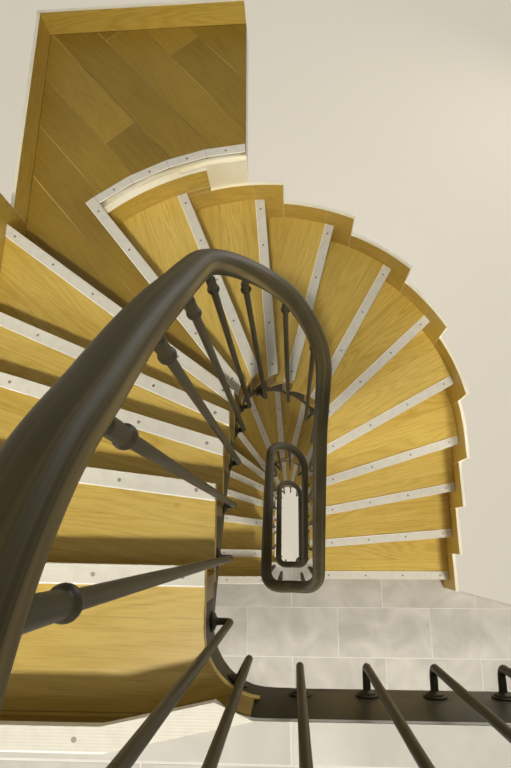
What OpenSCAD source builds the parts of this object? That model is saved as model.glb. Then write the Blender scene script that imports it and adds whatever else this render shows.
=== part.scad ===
// Open-well stair with winders: oak steps on a steel cut string that bends round a narrow
// oval well, a moulded handrail on swan-neck balusters, oak half landings and tiled landings.
// Millimetres, +Z up. The origin is the middle of the newel's foot, on the lowest floor.
// The flights climb along +Y on the right, turn left round the well and come back along -Y.

/* [Storeys] */
// Number of storeys that the stair climbs
storeys = 3; // [1:1:3]
// Height of one riser
riser_h = 162; // [150:1:180]

/* [Well] */
// Half of the width of the well, to the face of the string
well_r = 213; // [200:1:240]
// Radius of the two corners at the landing end of the well
corner_r = 150; // [130:1:170]
// Distance from the newel to the centre of the round end of the well, along Y
curve_y = 887; // [850:1:950]
// Place along Y of the landing's edge at the end of the well
well_end_y = 8; // [0:1:30]
// Place along Y of the top landing's edge, where a guard stands on it
top_edge_y = -50; // [-80:1:-30]

/* [Walls beside the steps] */
// Distance from the newel to the face of the right-hand skirting
right_x = 889; // [870:1:940]
// Radius of the curved skirting face
wall_r = 1155; // [1100:1:1200]
// Place along Y of the centre of the curved wall
wall_y = 900; // [850:5:950]
// Distance from the newel to the face of the left-hand skirting
left_x = 1345; // [1310:1:1450]

/* [Steps] */
// Thickness of an oak tread
tread_t = 32; // [25:1:45]
// Thickness of an oak riser
riser_t = 22; // [15:1:28]
// Overhang of a tread past the riser below it
overhang = 24; // [15:1:35]
// Overhang of a tread past the face of the string
tread_lip = 8; // [4:1:12]
// Width of the aluminium strip on a nosing
strip_w = 46; // [35:1:60]
// Height of the strip above the tread
strip_h = 4; // [2:0.5:6]
// Thickness of the strip's lip in front of the nosing
strip_lip = 3; // [2:0.5:5]
// Depth of that lip down the front of the tread
strip_drop = 22; // [12:1:28]

/* [Strings and soffit] */
// Thickness of the steel cut string
string_t = 10; // [6:1:16]
// Depth of the string below the line of the nosings
string_drop = 300; // [280:5:350]
// Thickness of the skirting boards
board_t = 18; // [12:1:24]
// How far the wall strings stand out under the treads
wall_lap = 22; // [15:1:35]
// Height of the stepped skirting above a tread
skirt_h = 125; // [90:5:180]
// How far the skirting runs ahead of each nosing
skirt_lead = 105; // [60:5:130]
// Thickness of the plaster soffit
soffit_t = 20; // [15:1:25]
// Height of the soffit above the lower edges of the strings
soffit_up = 25; // [20:1:40]

/* [Landings] */
// Depth of a landing below its floor
slab_t = 150; // [130:5:200]
// Thickness of tiles and bed on a landing
tile_t = 20; // [12:1:30]
// Thickness of the oak floor on a half landing
deck_t = 30; // [22:1:40]
// Place along Y of the far edge of a tiled landing
landing_back_y = -1150; // [-1400:10:-1000]
// Distance from the newel to the right-hand end of a tiled landing
landing_right_x = 1387; // [1150:1:1600]
// Place along Y where the wall beside the landing turns outwards
splay_y = 10; // [-20:5:40]
// Fall of that splayed side along Y over the landing's extra width
splay_fall = 140; // [60:10:200]
// Place along Y of the far edge of a half landing
half_back_y = 2880; // [2500:10:3100]
// Distance from the newel to the right-hand edge of a half landing
half_right_x = 309; // [290:1:340]
// Distance of the half landing's curved nosing outside the skirting's curve
half_set = 37; // [30:1:45]
// Overhang of that nosing past the curved riser
half_over = 10; // [8:1:16]
// Height of a landing's own skirting
base_h = 100; // [70:5:150]

/* [Railing] */
// Distance of the balusters and the rail from the face of the string
rail_in = 85; // [70:1:95]
// The same distance at the crown of the last storey, beside its upper flight and at the top guard
rail_in_crown = 58; // [50:1:80]
rail_in_left = 36; // [34:1:80]
rail_in_guard = 67; // [60:1:80]
// Height of the rail's top above the nosings
rail_h = 1110; // [1000:10:1250]
// Width of the handrail
rail_w = 66; // [50:1:75]
// Height of the handrail's section
rail_t = 52; // [40:1:60]
// Width of the flat bar under the handrail
bar_w = 30; // [24:1:40]
// Thickness of that bar
bar_t = 8; // [5:1:10]
// Diameter of a baluster
bal_d = 22; // [16:1:26]
// Balusters in one storey
bal_n = 17; // [15:1:19]
// Bend radius of a baluster's foot, to its middle
bend_r = 24; // [20:1:26]
// Diameter of the rosette on the string
rosette_d = 56; // [44:1:64]
// Thickness of the rosette
rosette_t = 9; // [6:1:14]
// Diameter of the collar on a baluster
collar_d = 38; // [30:1:46]
// Distance from the top of the rail down to the collar
collar_drop = 150; // [130:5:240]
// Height of the rosettes above the lower edge of the string
rosette_up = 62; // [50:1:75]
// Diameter of the newel post
newel_d = 60; // [48:1:76]
// Diameter of the newel's foot
foot_d = 130; // [110:5:160]
// Thickness of the newel's foot
foot_t = 12; // [8:1:20]

/* [Hidden] */
// Clearances: where separate pieces seat, where both bend in short flats, and under a steep bend
seat = 0.3;
curve_seat = 0.6;
bend_seat = 3;
// Gap at the joint of two lengths of the same piece
joint = 0.6;
// Run of the almost upright side of a notch in a string, and its distance behind the riser
notch_run = 1;
notch_gap = 0.5;
// Widest oak return on the string's face, and the share of a narrow step that a return may take
return_w = 60;
return_share = 0.45;
// Gap between a nosing strip's lip and the tread
lip_gap = 0.1;
// Number of straight lengths in the half landing's nosing, and how far it lies back from the edge
half_parts = 4;
half_strip_in = 4;
// Thickness of the trimmer at the half landing, and its distance behind the soffit's edge
trimmer_t = 40;
trimmer_gap = 3;
// Distance of a rosette's rim from the edges of the string
rosette_rim = 4;
// Gap between the handrail and the flat bar under it
bar_gap = 0.8;
// Height of a baluster's collar, and the pin that joins it to the rail
collar_h = 14;
pin_r = 5;
pin_h = 40;
// Anchor holes in the newel's foot
foot_pcd = foot_d - 34;
anchor_d = 11;
// Height of the newel above the rail at the first nosing
newel_up = 190;
// Places of the nosings along the string's face, from the crown of the well, rising to the left
well_marks = [-1153, -947, -755, -593, -431, -266, -179, -32, 48, 138, 260, 349, 470, 603, 758, 976, 1153];
// Places of the nosings along the right-hand wall and its curve, from the newel
wall_marks = [74, 338, 611, 874, 1210, 1573, 1922, 2301, 2686, 3077, 3483];
// Places of the upper nosings on the left-hand wall, along Y
left_marks = [1645, 1208, 938, 597, 264, 74];
// The top landing's nosing: its straight part, the kink in it, and the well's corner turned at its end
top_nosing_y = -60;
top_kink_x = -518;
top_turn = 49;
// Run past the last nosing in which the nosing count rises by one more
count_run = 175;
// How far ahead of the first nosing the pitch line starts to rise
pitch_lead = 200;
// Lengths over which the strings' lower edge and the rail are rounded, and the lag of that edge
string_smooth = 160;
rail_smooth = 170;
string_lag = 45;
// Nosing count at which a soffit starts beside a landing, and the distance of its rings in risers
soffit_first = 1.3;
soffit_ring = 0.25;
// Distances of the rings along the wall's curve, along the string, and along a bend of the rail
wall_reach = 55;
string_reach = 26;
rail_bend = 36;
rail_run = 90;
// Distance of the last baluster from the end of the top guard
guard_end = 60;
// Angle between the points on a round edge of the well
arc_step = 6;
// The string's path runs straight on past the newel at the foot of the stair
start_end_y = -2000;

risers = len(well_marks);
half = len(wall_marks);
storey_h = risers * riser_h;
well_x = rail_in - well_r;
wall_x = right_x - wall_r;
quarter = 90 * PI / 180;
half_len = quarter * (well_r + corner_r) + curve_y - well_end_y + well_r - 2 * corner_r;
top_len = half_len + well_end_y - top_edge_y + right_x - well_x;
top_mark = quarter * well_r + curve_y - top_edge_y - corner_r + corner_r * top_turn * PI / 180;
half_face = half_set + half_over;
back_off = overhang + riser_t;
corner_u = wall_y + wall_r * acos((-half_right_x - wall_x) / (wall_r + half_set)) * PI / 180;
newel_s = quarter * well_r + curve_y;
newel_top = rail_h + newel_up;

// One side of the well at a distance from its crown: distance from the middle line, y, normal x, y
function side_at(s, end_y) =
    let (a = quarter * well_r, b = a + curve_y - end_y - corner_r, c = b + quarter * corner_r)
    s < a ? let (g = s / well_r * 180 / PI) [well_r * sin(g), curve_y + well_r * cos(g), sin(g), cos(g)] :
    s < b ? [well_r, curve_y + a - s, 1, 0] :
    s < c ? let (g = (s - b) / corner_r * 180 / PI)
        [well_r - corner_r + corner_r * cos(g), end_y + corner_r - corner_r * sin(g), cos(g), -sin(g)] :
    [well_r - corner_r - (s - c), end_y, 0, -1];
// A storey's ends: the y of the well's edge below and above
function low_end(st) = st == 0 ? start_end_y : well_end_y;
function high_end(st) = st == storeys - 1 ? top_edge_y : well_end_y;
// A point of the well's edge in a storey, moved out of the well by off
function well_pt(st, s, off) =
    let (q = side_at(abs(s), s < 0 ? low_end(st) : high_end(st)), m = s < 0 ? 1 : -1)
    [well_x + m * (q[0] + off * q[2]), q[1] + off * q[3]];
function well_normal(st, s) =
    let (q = side_at(abs(s), s < 0 ? low_end(st) : high_end(st)), m = s < 0 ? 1 : -1) [m * q[2], q[3]];
// A point of the right-hand wall and its curve at the distance u, moved outwards by off
function wall_normal(u) = let (g = max(0, u - wall_y) / wall_r * 180 / PI) [cos(g), sin(g)];
function wall_pt(u, off) =
    u < wall_y ? [right_x + off, u] : [wall_x, wall_y] + (wall_r + off) * wall_normal(u);
function left_pt(y, off) = [-left_x - off, y];

// The place of a nosing or of a point between nosings, counted in risers from the storey's floor
function mark_table(m, first) = [for (i = [0:len(m) - 1]) [first + i, m[i]]];
function extended(m, end, step) = concat([for (i = [0:len(m) - 2]) m[i]], [end, end + step]);
function well_mark(st, t) =
    lookup(t, mark_table(extended(well_marks, last_mark(st), count_run), 1));
function last_mark(st) = st == storeys - 1 ? top_mark : well_marks[risers - 1];
function wall_mark(t) = lookup(t, mark_table(wall_marks, 1));
function left_end(st) = st == storeys - 1 ? top_nosing_y : left_marks[len(left_marks) - 1];
function left_mark(st, t) =
    lookup(t, mark_table(extended(left_marks, left_end(st), -count_run), half + 1));

function unit(v) = v / norm(v);
function turn(v) = [-v[1], v[0]];
function reversed(v) = [for (k = [len(v) - 1:-1:0]) v[k]];
function is_top(st, i) = st == storeys - 1 && i == risers;
// The ends of a nosing, its direction from the well outwards and the uphill direction square to it
function inner_end(st, i) = well_pt(st, well_mark(st, i), 0);
function outer_end(st, i) = is_top(st, i) ? [top_kink_x, top_nosing_y] :
    i <= half ? wall_pt(wall_mark(i), 0) : left_pt(left_mark(st, i), 0);
function line_dir(st, i) = unit(outer_end(st, i) - inner_end(st, i));
function uphill(st, i) = turn(line_dir(st, i));
// Distance along the well's edge, moved by off, where it meets the line set back by e from nosing i:
// each round goes along the edge by what is left of e
function well_s(st, i, e, off, from, rounds = 4) =
    let (s = is_undef(from) ? well_mark(st, i) : from, m = uphill(st, i),
        rest = e - (well_pt(st, s, off) - inner_end(st, i)) * m)
    rounds == 0 ? s : well_s(st, i, e, off, s + rest / (turn(well_normal(st, s)) * m), rounds - 1);
// The same along the right-hand wall and its curve, and the place along Y on the left-hand wall
function wall_u(st, i, e, off, from, rounds = 4) =
    let (u = is_undef(from) ? wall_mark(i) : from, m = uphill(st, i),
        rest = e - (wall_pt(u, off) - inner_end(st, i)) * m)
    rounds == 0 ? u : wall_u(st, i, e, off, u + rest / (turn(wall_normal(u)) * m), rounds - 1);
function left_y(st, i, e, off) =
    let (p = inner_end(st, i), m = uphill(st, i))
    is_top(st, i) ? top_nosing_y - e : p[1] + (e + (left_x + off + p[0]) * m[0]) / m[1];
function well_on(st, i, e, off) = well_pt(st, well_s(st, i, e, off), off);
function outer_on(st, i, e, off) =
    i <= half ? wall_pt(wall_u(st, i, e, off), off) : left_pt(left_y(st, i, e, off), off);
// The line set back by e from nosing i, from the well to the wall: the top landing's has a kink
function kink_pt(e) =
    let (d = line_dir(storeys - 1, risers)) [top_kink_x + e * (1 + d[0]) / abs(d[1]), top_nosing_y - e];
function set_back(st, i, e, well_off, wall_off) =
    concat([well_on(st, i, e, well_off)], is_top(st, i) ? [kink_pt(e)] : [], [outer_on(st, i, e, wall_off)]);
// A board along nosing i, between two distances back from it
function across(st, i, a, b, well_off, wall_off) =
    concat(set_back(st, i, a, well_off, wall_off), reversed(set_back(st, i, b, well_off, wall_off)));

// Points along the well's edge, with none between the ends of a straight stretch
function well_run(st, a, b, off) =
    let (n = max(1, ceil(abs(b - a) / (well_r * arc_step * PI / 180))),
        s = [for (k = [0:n]) a + (b - a) * k / n], m = [for (d = s) well_normal(st, d)])
    [for (k = [0:n]) if (k == 0 || k == n || m[k - 1] != m[k + 1]) well_pt(st, s[k], off)];
// Points along the wall's curve between two distances
function wall_run(a, b, off) =
    let (n = max(1, a < wall_y && b < wall_y ? 1 : ceil(abs(b - a) / wall_reach)))
    [for (k = [0:n]) wall_pt(a + (b - a) * k / n, off)];

// Height of a floor's finish: the thickness of what lies on the string at level i
function finish_t(i) = i == 0 || i == risers ? tile_t : i == half ? deck_t : tread_t;
function under_step(i) = i * riser_h - finish_t(i);
// The line of the nosings over one storey as pairs of path distance and height, flat on the landings
function pitch_table(st) =
    concat([[well_marks[0] - pitch_lead, 0]], [for (i = [1:risers]) [well_mark(st, i), i * riser_h]]);
// The same line rounded off by a mean over a length of the path
function smooth_pitch(st, s, reach) =
    let (t = pitch_table(st), v = [for (k = [-4:4]) lookup(s + reach * k / 4, t)])
    v * [for (k = v) 1] / len(v);
// Lower edge of the strings, from the height of the nosing line over it
function low_edge(st, pitch) =
    min(max(pitch - string_drop, st == 0 ? 0 : -slab_t), storey_h - slab_t);
function well_low(st, s) = low_edge(st, smooth_pitch(st, s - string_lag, string_smooth));
// Stations along a path: breaks b with a value v between each two, at most reach apart past flat_to
function stepped(b, v, reach, flat_to) = [for (j = [0:len(v) - 1])
    let (a = b[j] + (j > 0 ? notch_run : 0), run = b[j + 1] - a,
        n = b[j + 1] <= flat_to ? 1 : max(1, ceil(run / reach)))
    for (k = [0:n]) [a + run * k / n, v[j]]];
// Where the strings step up behind riser i, and the height of the well string's top
function well_step(st, i) =
    max(well_s(st, i, back_off, 0), well_s(st, i, back_off, string_t)) + notch_gap;
function wall_step(st, i) =
    max(wall_u(st, i, back_off, -wall_lap), wall_u(st, i, back_off, board_t)) + notch_gap;
function left_step(st, i) =
    max(-left_y(st, i, back_off, -wall_lap), -left_y(st, i, back_off, board_t)) + notch_gap;
function well_top(st, s) = under_step(len([for (i = [1:risers]) if (s >= well_step(st, i)) i]));

// A solid skinned through rings of points: its flats are split along one diagonal or the other
module skin(rings, other = false) {
    n = len(rings[0]);
    m = len(rings);
    points = [for (r = rings) for (p = r) p];
    sides = [for (j = [0:m - 2]) for (k = [0:n - 1])
        let (a = j * n + k, b = j * n + (k + 1) % n, c = b + n, d = a + n)
        each other ? [[a, b, d], [b, c, d]] : [[a, b, c], [a, c, d]]];
    caps = [[for (k = [n - 1:-1:0]) k], [for (k = [0:n - 1]) (m - 1) * n + k]];
    polyhedron(points, concat(sides, caps), convexity = 10);
}
// A four-cornered ring of an upright plate: outer and inner point in plan, bottom and top
function plate_ring(p, q, lo, hi) =
    [[p[0], p[1], lo], [q[0], q[1], lo], [q[0], q[1], hi], [p[0], p[1], hi]];
module prism(outline, lo, hi) {
    translate([0, 0, lo])
        linear_extrude(height = hi - lo)
            polygon(outline);
}

// Outline of tread i: along the well, up the wall, and back along the riser above
function tread_outline(st, i) =
    let (edge = i == half - 1 ? half_face + riser_t : -curve_seat, lip = -tread_lip,
        well = well_run(st, well_s(st, i + 1, back_off, lip), well_s(st, i, 0, lip), lip))
    i < half ? concat(well, wall_run(wall_u(st, i, 0, edge), wall_u(st, i + 1, back_off, edge), edge)) :
    let (back = set_back(st, i + 1, back_off, 0, edge))
    concat(well, [outer_on(st, i, 0, edge)], [for (k = [len(back) - 1:-1:1]) back[k]]);
module treads(st) {
    color([0.76, 0.6, 0.3])
        for (i = [1:risers - 1])
            if (i != half)
                prism(tread_outline(st, i), under_step(i), i * riser_h);
}
module risers(st) {
    color([0.62, 0.45, 0.18]) {
        for (i = [1:risers])
            prism(across(st, i, overhang, back_off, 2 * curve_seat, (i == half ? half_face : 0) - curve_seat),
                (i - 1) * riser_h, under_step(i));
        // Curved riser under the half landing, and its deeper length beside the tread before last
        edge = half_face + riser_t;
        prism(concat(wall_run(wall_mark(half - 1), wall_u(st, half, back_off, half_face), half_face),
            wall_run(wall_u(st, half, back_off, edge), wall_mark(half - 1), edge)),
            (half - 1) * riser_h, under_step(half));
        prism(concat(wall_run(corner_u, wall_mark(half - 1) - joint, board_t + curve_seat),
            wall_run(wall_mark(half - 1) - joint, corner_u, edge)),
            (half - 2) * riser_h, under_step(half));
    }
}
// Oak returns that close the ends of the risers on the face of the string
function return_width(st, i) =
    min(return_w, return_share * ((i < risers ? well_mark(st, i + 1) : half_len) - well_mark(st, i)));
module riser_returns(st) {
    color([0.8, 0.66, 0.4])
        for (i = [1:risers])
            let (a = well_s(st, i, overhang, -curve_seat), b = a + return_width(st, i),
                floor_top = i == half || i == risers ? finish_t(i) - tread_t : 0)
                prism(concat(well_run(st, a, b, -curve_seat), well_run(st, b, a, -tread_lip)),
                    (i - 1) * riser_h, under_step(i) + min(0, floor_top));
}
// Nosing strip: a flat bar on the tread with a lip down its front
module strip(st, i) {
    end = i == half ? half_set + half_strip_in + strip_w : -seat - strip_lip;
    lip_end = i == half ? half_set - seat : end;
    well_end = 1 - tread_lip;
    z = i * riser_h;
    union() {
        prism(across(st, i, -strip_lip, strip_w, well_end, end), z, z + strip_h);
        prism(across(st, i, -strip_lip, -lip_gap, well_end, lip_end), z - strip_drop, z + strip_h);
    }
}
// Curved nosing of the half landing, in four straight lengths
module half_strip(st) {
    in = half_set + half_strip_in;
    start = wall_u(st, half, -strip_lip, in) - 2 * joint;
    run = (start - corner_u) / half_parts;
    for (k = [0:half_parts - 1])
        let (u = corner_u + k * run + joint, v = corner_u + (k + 1) * run - joint)
            prism([wall_pt(u, in), wall_pt(v, in), wall_pt(v, in + strip_w), wall_pt(u, in + strip_w)],
                half * riser_h, half * riser_h + strip_h);
}
module nosing_strips(st) {
    color([0.83, 0.82, 0.78]) {
        for (i = [1:risers])
            strip(st, i);
        half_strip(st);
    }
}

// Steel cut string round the well; at a landing it is the fascia of the landing's edge
module well_string(st) {
    last = st == storeys - 1 ? top_len - seat : half_len - joint / 2;
    first = st == 0 ? 1 : 0;
    b = concat(st == 0 ? [] : [joint / 2 - half_len], [for (i = [1:risers]) well_step(st, i)], [last]);
    v = [for (i = [first:risers]) under_step(i)];
    color([0.24, 0.22, 0.19])
        skin([for (q = stepped(b, v, string_reach, -half_len)) plate_ring(
            well_pt(st, q[0], 0), well_pt(st, q[0], string_t), well_low(st, q[0]), q[1])]);
}
// The nosing count at a distance along the right-hand wall or at a place on the left-hand wall
function wall_count(u) = lookup(u, [for (i = [1:half]) [wall_mark(i), i]]);
function left_count(st, v) = lookup(v, [for (i = [half + 1:risers]) [-left_mark(st, i), i]]);
function wall_low(st, u) = low_edge(st, wall_count(u) * riser_h);
function left_low(st, v) = low_edge(st, left_count(st, v) * riser_h);

// Steel strings along the walls, under the ends of the treads
module wall_strings(st) {
    right_b = [for (i = [1:half - 1]) wall_step(st, i) + (i == 1 ? notch_run : 0)];
    right_v = [for (i = [1:half - 2]) under_step(i)];
    bend_b = [wall_step(st, half - 1) + joint, wall_step(st, half) - joint];
    left_b = [for (i = [half + 1:risers]) left_step(st, i) + (i == half + 1 ? notch_run : 0)];
    left_v = [for (i = [half + 1:risers - 1]) under_step(i)];
    p = wall_pt(wall_step(st, half), -wall_lap);
    q = wall_pt(wall_step(st, half), half_face + riser_t);
    e = trimmer_end(st);
    low = low_edge(st, half * riser_h);
    high = low_edge(st, (half + 1) * riser_h);
    color([0.24, 0.22, 0.19]) {
        skin([for (g = stepped(right_b, right_v, wall_reach, wall_y))
            plate_ring(wall_pt(g[0], -wall_lap), wall_pt(g[0], board_t), wall_low(st, g[0]), g[1])]);
        skin([for (g = stepped(bend_b, [under_step(half - 1)], wall_reach, 0)) plate_ring(
            wall_pt(g[0], -wall_lap), wall_pt(g[0], half_face + riser_t), wall_low(st, g[0]), g[1])]);
        // Trimmer from the end of the curve to the left-hand wall
        skin([plate_ring(p, q, low, under_step(half)),
            plate_ring(e, e + [0, trimmer_t], high, under_step(half))]);
        skin([for (g = stepped(left_b, left_v, wall_reach, left_x)) plate_ring(
            [wall_lap - left_x, -g[0]], [-left_x - board_t, -g[0]], left_low(st, g[0]), g[1])]);
    }
}
function trimmer_end(st) = left_pt(left_mark(st, half + 1) + trimmer_gap, -wall_lap);
// Stepped oak skirting on the walls, a board for each step, and the half landing's own boards
function skirt_u(i) = i == 1 ? max(wall_mark(1) - skirt_lead, splay_y) :
    i < half - 1 ? wall_mark(i) - skirt_lead : wall_mark(i);
function skirt_v(st, i) = -left_mark(st, i) - skirt_lead;
module skirtings(st) {
    x = -left_x - board_t;
    y = -skirt_v(st, half + 1) + joint;
    z = under_step(half);
    color([0.6, 0.42, 0.16]) {
        for (i = [1:half - 2])
            let (low = i == 1 && st == 0 ? 0 : under_step(i - 1),
                b = [skirt_u(i), wall_step(st, i), skirt_u(i + 1) - joint])
                skin([for (g = stepped(b, [low, under_step(i)], wall_reach, wall_y))
                    plate_ring(wall_pt(g[0], 0), wall_pt(g[0], board_t), g[1], i * riser_h + skirt_h)]);
        for (i = [half + 1:risers])
            let (end = -left_y(st, risers, back_off, board_t) - joint,
                b = i < risers ? [skirt_v(st, i), left_step(st, i), skirt_v(st, i + 1) - joint]
                    : [skirt_v(st, i), end],
                v = [under_step(i - 1), if (i < risers) under_step(i)])
                skin([for (g = stepped(b, v, wall_reach, left_x))
                    plate_ring(left_pt(-g[0], 0), left_pt(-g[0], board_t), g[1], i * riser_h + skirt_h)]);
        prism([[-left_x, y], [-left_x, half_back_y], [x, half_back_y], [x, y]], z, half * riser_h + skirt_h);
        prism([[x, half_back_y + joint], [-half_right_x, half_back_y + joint],
            [-half_right_x, half_back_y + board_t], [x, half_back_y + board_t]], z, half * riser_h + skirt_h);
    }
}

// How far the well's edge bulges towards the well within a width
function bow(st, s, w) =
    let (p = well_pt(st, s, 0), n = well_normal(st, s))
    max([for (d = [-w, 0, w]) (p - well_pt(st, s + d / 2, 0)) * n]);
// Plaster soffit, ruled from the string to the wall
function mix(p, q, f) = p * (1 - f) + q * f;
function soffit_inner(st, t) =
    let (s = well_mark(st, t), d = soffit_ring, w = max(well_mark(st, t + d) - s, s - well_mark(st, t - d)))
    well_pt(st, s, string_t + curve_seat + bow(st, s, w));
function soffit_outer(st, t) =
    let (off = -wall_lap - curve_seat, past = wall_step(st, half) - wall_mark(half))
    t < half ? wall_pt(wall_mark(t) + max(0, t - half + 1) * past, off) :
    t < half + 1 ? mix(wall_pt(wall_step(st, half), off), left_pt(left_mark(st, half + 1), off), t - half) :
    left_pt(left_mark(st, t), off);
module soffit(st) {
    from = st == 0 ? string_drop / riser_h : soffit_first;
    to = (storey_h - slab_t - seat + string_drop - soffit_up - soffit_t) / riser_h;
    counts = concat([from], [for (k = [ceil(from / soffit_ring):to / soffit_ring]) k * soffit_ring], [to]);
    rings = [for (t = counts) let (
        p = soffit_inner(st, t), q = soffit_outer(st, t),
        low_in = [p[0], p[1], well_low(st, well_mark(st, t)) + soffit_up],
        low_out = [q[0], q[1], low_edge(st, t * riser_h) + soffit_up], up = [0, 0, soffit_t])
        [low_in, low_out, low_out + up, low_in + up]];
    color([0.93, 0.92, 0.88])
        skin(rings);
}

// Outline of a landing, whose edge stands back from the well's face by off and from the wall by side
function landing_outline(st, front, off, side) =
    let (up = st + 1, last = st == storeys - 1, start = well_s(st, risers, front, off),
        line = set_back(st, risers, front, off, side),
        guard = concat(well_run(st, start, top_len - board_t, off), [[right_x + side, top_edge_y - off]]),
        well = last ? guard : concat(well_run(st, start, half_len - joint, off),
                well_run(up, joint - half_len, well_s(up, 1, back_off, off), off),
                [wall_pt(wall_u(up, 1, back_off, side), side)]))
    concat([for (k = [len(line) - 1:-1:1]) line[k]], well,
        [[right_x + side, splay_y], [landing_right_x, splay_y - splay_fall],
            [landing_right_x, landing_back_y], [-left_x - side, landing_back_y]]);
function half_outline(st) = concat(
    well_run(st, well_s(st, half + 1, back_off, -tread_lip), well_s(st, half, 0, -tread_lip), -tread_lip),
    wall_run(wall_u(st, half, 0, half_set), corner_u, half_set),
    [[-half_right_x, half_back_y], [-left_x, half_back_y], outer_on(st, half + 1, back_off, 0)]);
module half_floor(st) {
    color([0.7, 0.52, 0.24])
        prism(half_outline(st), under_step(half), half * riser_h);
}
module slabs(st) {
    e = trimmer_end(st);
    back = e[1] + trimmer_t + trimmer_gap;
    edge = half_face + riser_t + curve_seat;
    color([0.8, 0.79, 0.75]) {
        prism(landing_outline(st, back_off, string_t + 2 * curve_seat, board_t),
            storey_h - slab_t, storey_h - tile_t);
        prism(concat(wall_run(wall_step(st, half) - trimmer_t / 2, corner_u, edge),
            [[-half_right_x, half_back_y + board_t], [-left_x - board_t, half_back_y + board_t],
                [-left_x - board_t, back], [e[0], back]]),
            half * riser_h - slab_t, under_step(half));
    }
}
// Stone tiles on a landing, with a low tiled skirting along its walls
module tiles(st) {
    x = -left_x - board_t;
    y = -left_step(st, risers) - joint;
    right_y = (st == storeys - 1 ? top_edge_y - string_t : skirt_u(1)) - joint;
    fall_y = splay_y - splay_fall;
    color([0.72, 0.72, 0.7]) {
        prism(landing_outline(st, 0, -tread_lip, 0), storey_h - tile_t, storey_h);
        prism([[x, y], [-left_x, y], [-left_x, landing_back_y], [x, landing_back_y]],
            storey_h - tile_t, storey_h + base_h);
        prism([[right_x, min(right_y, splay_y)], [landing_right_x, fall_y],
            [landing_right_x, fall_y + board_t], [right_x + board_t, right_y], [right_x, right_y]],
            storey_h, storey_h + base_h);
    }
}

// Handrail: a moulded section and a flat bar under it, square to the rail's own slope
// In the last storey the rail draws closer to the string, and it lifts before the landing
function rail_off(st, s) = st < storeys - 1 ? rail_in :
    lookup(s, [[-500, rail_in], [0, rail_in_crown], [400, rail_in_left], [900, rail_in_left],
        [1300, rail_in_guard]]);
function rail_lift(st, s) = st < storeys - 1 ? 0 :
    lookup(s, [[0, 0], [350, -40], [520, -40], [760, 5], [900, 45], [1060, 35], [1300, 0]]);
function rail_z(st, s) = smooth_pitch(st, s, rail_smooth) + rail_h - rail_t / 2 + rail_lift(st, s);
function rail_pt(st, s) = let (p = well_pt(st, s, -rail_off(st, s))) [p[0], p[1], rail_z(st, s)];
function rail_dir(st, s) = unit(rail_pt(st, s + 2) - rail_pt(st, s - 2));
function rail_ring(st, s, outline) =
    let (c = rail_pt(st, s), d = rail_dir(st, s), side = unit([d[1], -d[0], 0]), up = cross(side, d))
    [for (q = outline) c + q[0] * side + q[1] * up];
bar_share = bar_w / 2 / rail_w;
rail_section = [for (q = [[-0.3, -0.48], [-bar_share, -0.5], [bar_share, -0.5], [0.3, -0.48], [0.5, -0.3],
    [0.5, 0.1], [0.38, 0.38], [0.15, 0.5], [-0.15, 0.5], [-0.38, 0.38], [-0.5, 0.1], [-0.5, -0.3]])
    [q[0] * rail_w, q[1] * rail_t]];
bar_top = -rail_t / 2 - bar_gap;
bar_section = [[-bar_w / 2, bar_top - bar_t], [bar_w / 2, bar_top - bar_t], [bar_w / 2, bar_top],
    [-bar_w / 2, bar_top]];
// Places of the rail's rings: closer where the path bends. The first rail starts clear of the newel
function rail_start() = -newel_s + newel_d / 2 + seat + rail_t / 2 * rail_dir(0, newel_d - newel_s)[2];
function rail_breaks(st) =
    let (last = st == storeys - 1, q = quarter * well_r, bend = quarter * corner_r,
        low_c = q + curve_y - well_end_y - corner_r, high_c = q + curve_y - high_end(st) - corner_r)
    concat(st == 0 ? [[rail_start(), rail_run]]
            : [[joint / 2 - half_len, rail_bend], [-low_c - bend, rail_bend], [-low_c, rail_run]],
        [[-q, rail_bend], [q, rail_run], [high_c, rail_bend], [high_c + bend, rail_run],
            [last ? top_len - seat : half_len - joint / 2, 0]]);
function rail_places(st) =
    let (b = rail_breaks(st), n = len(b))
    concat([for (j = [0:n - 2]) let (m = ceil((b[j + 1][0] - b[j][0]) / b[j][1]))
        for (k = [0:m - 1]) b[j][0] + (b[j + 1][0] - b[j][0]) * k / m], [b[n - 1][0]]);
module handrail(st) {
    color([0.22, 0.2, 0.17])
        skin([for (s = rail_places(st)) rail_ring(st, s, rail_section)]);
}
module rail_bar(st) {
    color([0.3, 0.28, 0.25])
        skin([for (s = rail_places(st)) rail_ring(st, s, bar_section)], other = true);
}

// Balusters: a rosette and a bent arm on the string's face, an upright bar, a collar and a thin pin
bal_step = 2 * half_len / bal_n;
function bal_places(st) =
    [for (s = [bal_step / 2 - half_len:bal_step:st == storeys - 1 ? top_len - guard_end : half_len])
        if (st > 0 || s > well_step(0, 1) + rosette_d) s];
function bal_top(st, s) =
    let (d = rail_dir(st, s), flat = norm([d[0], d[1]]))
    rail_z(st, s) + (bar_top - bar_t) / flat - (pin_r + bend_seat) * abs(d[2]) / flat - seat;
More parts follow.
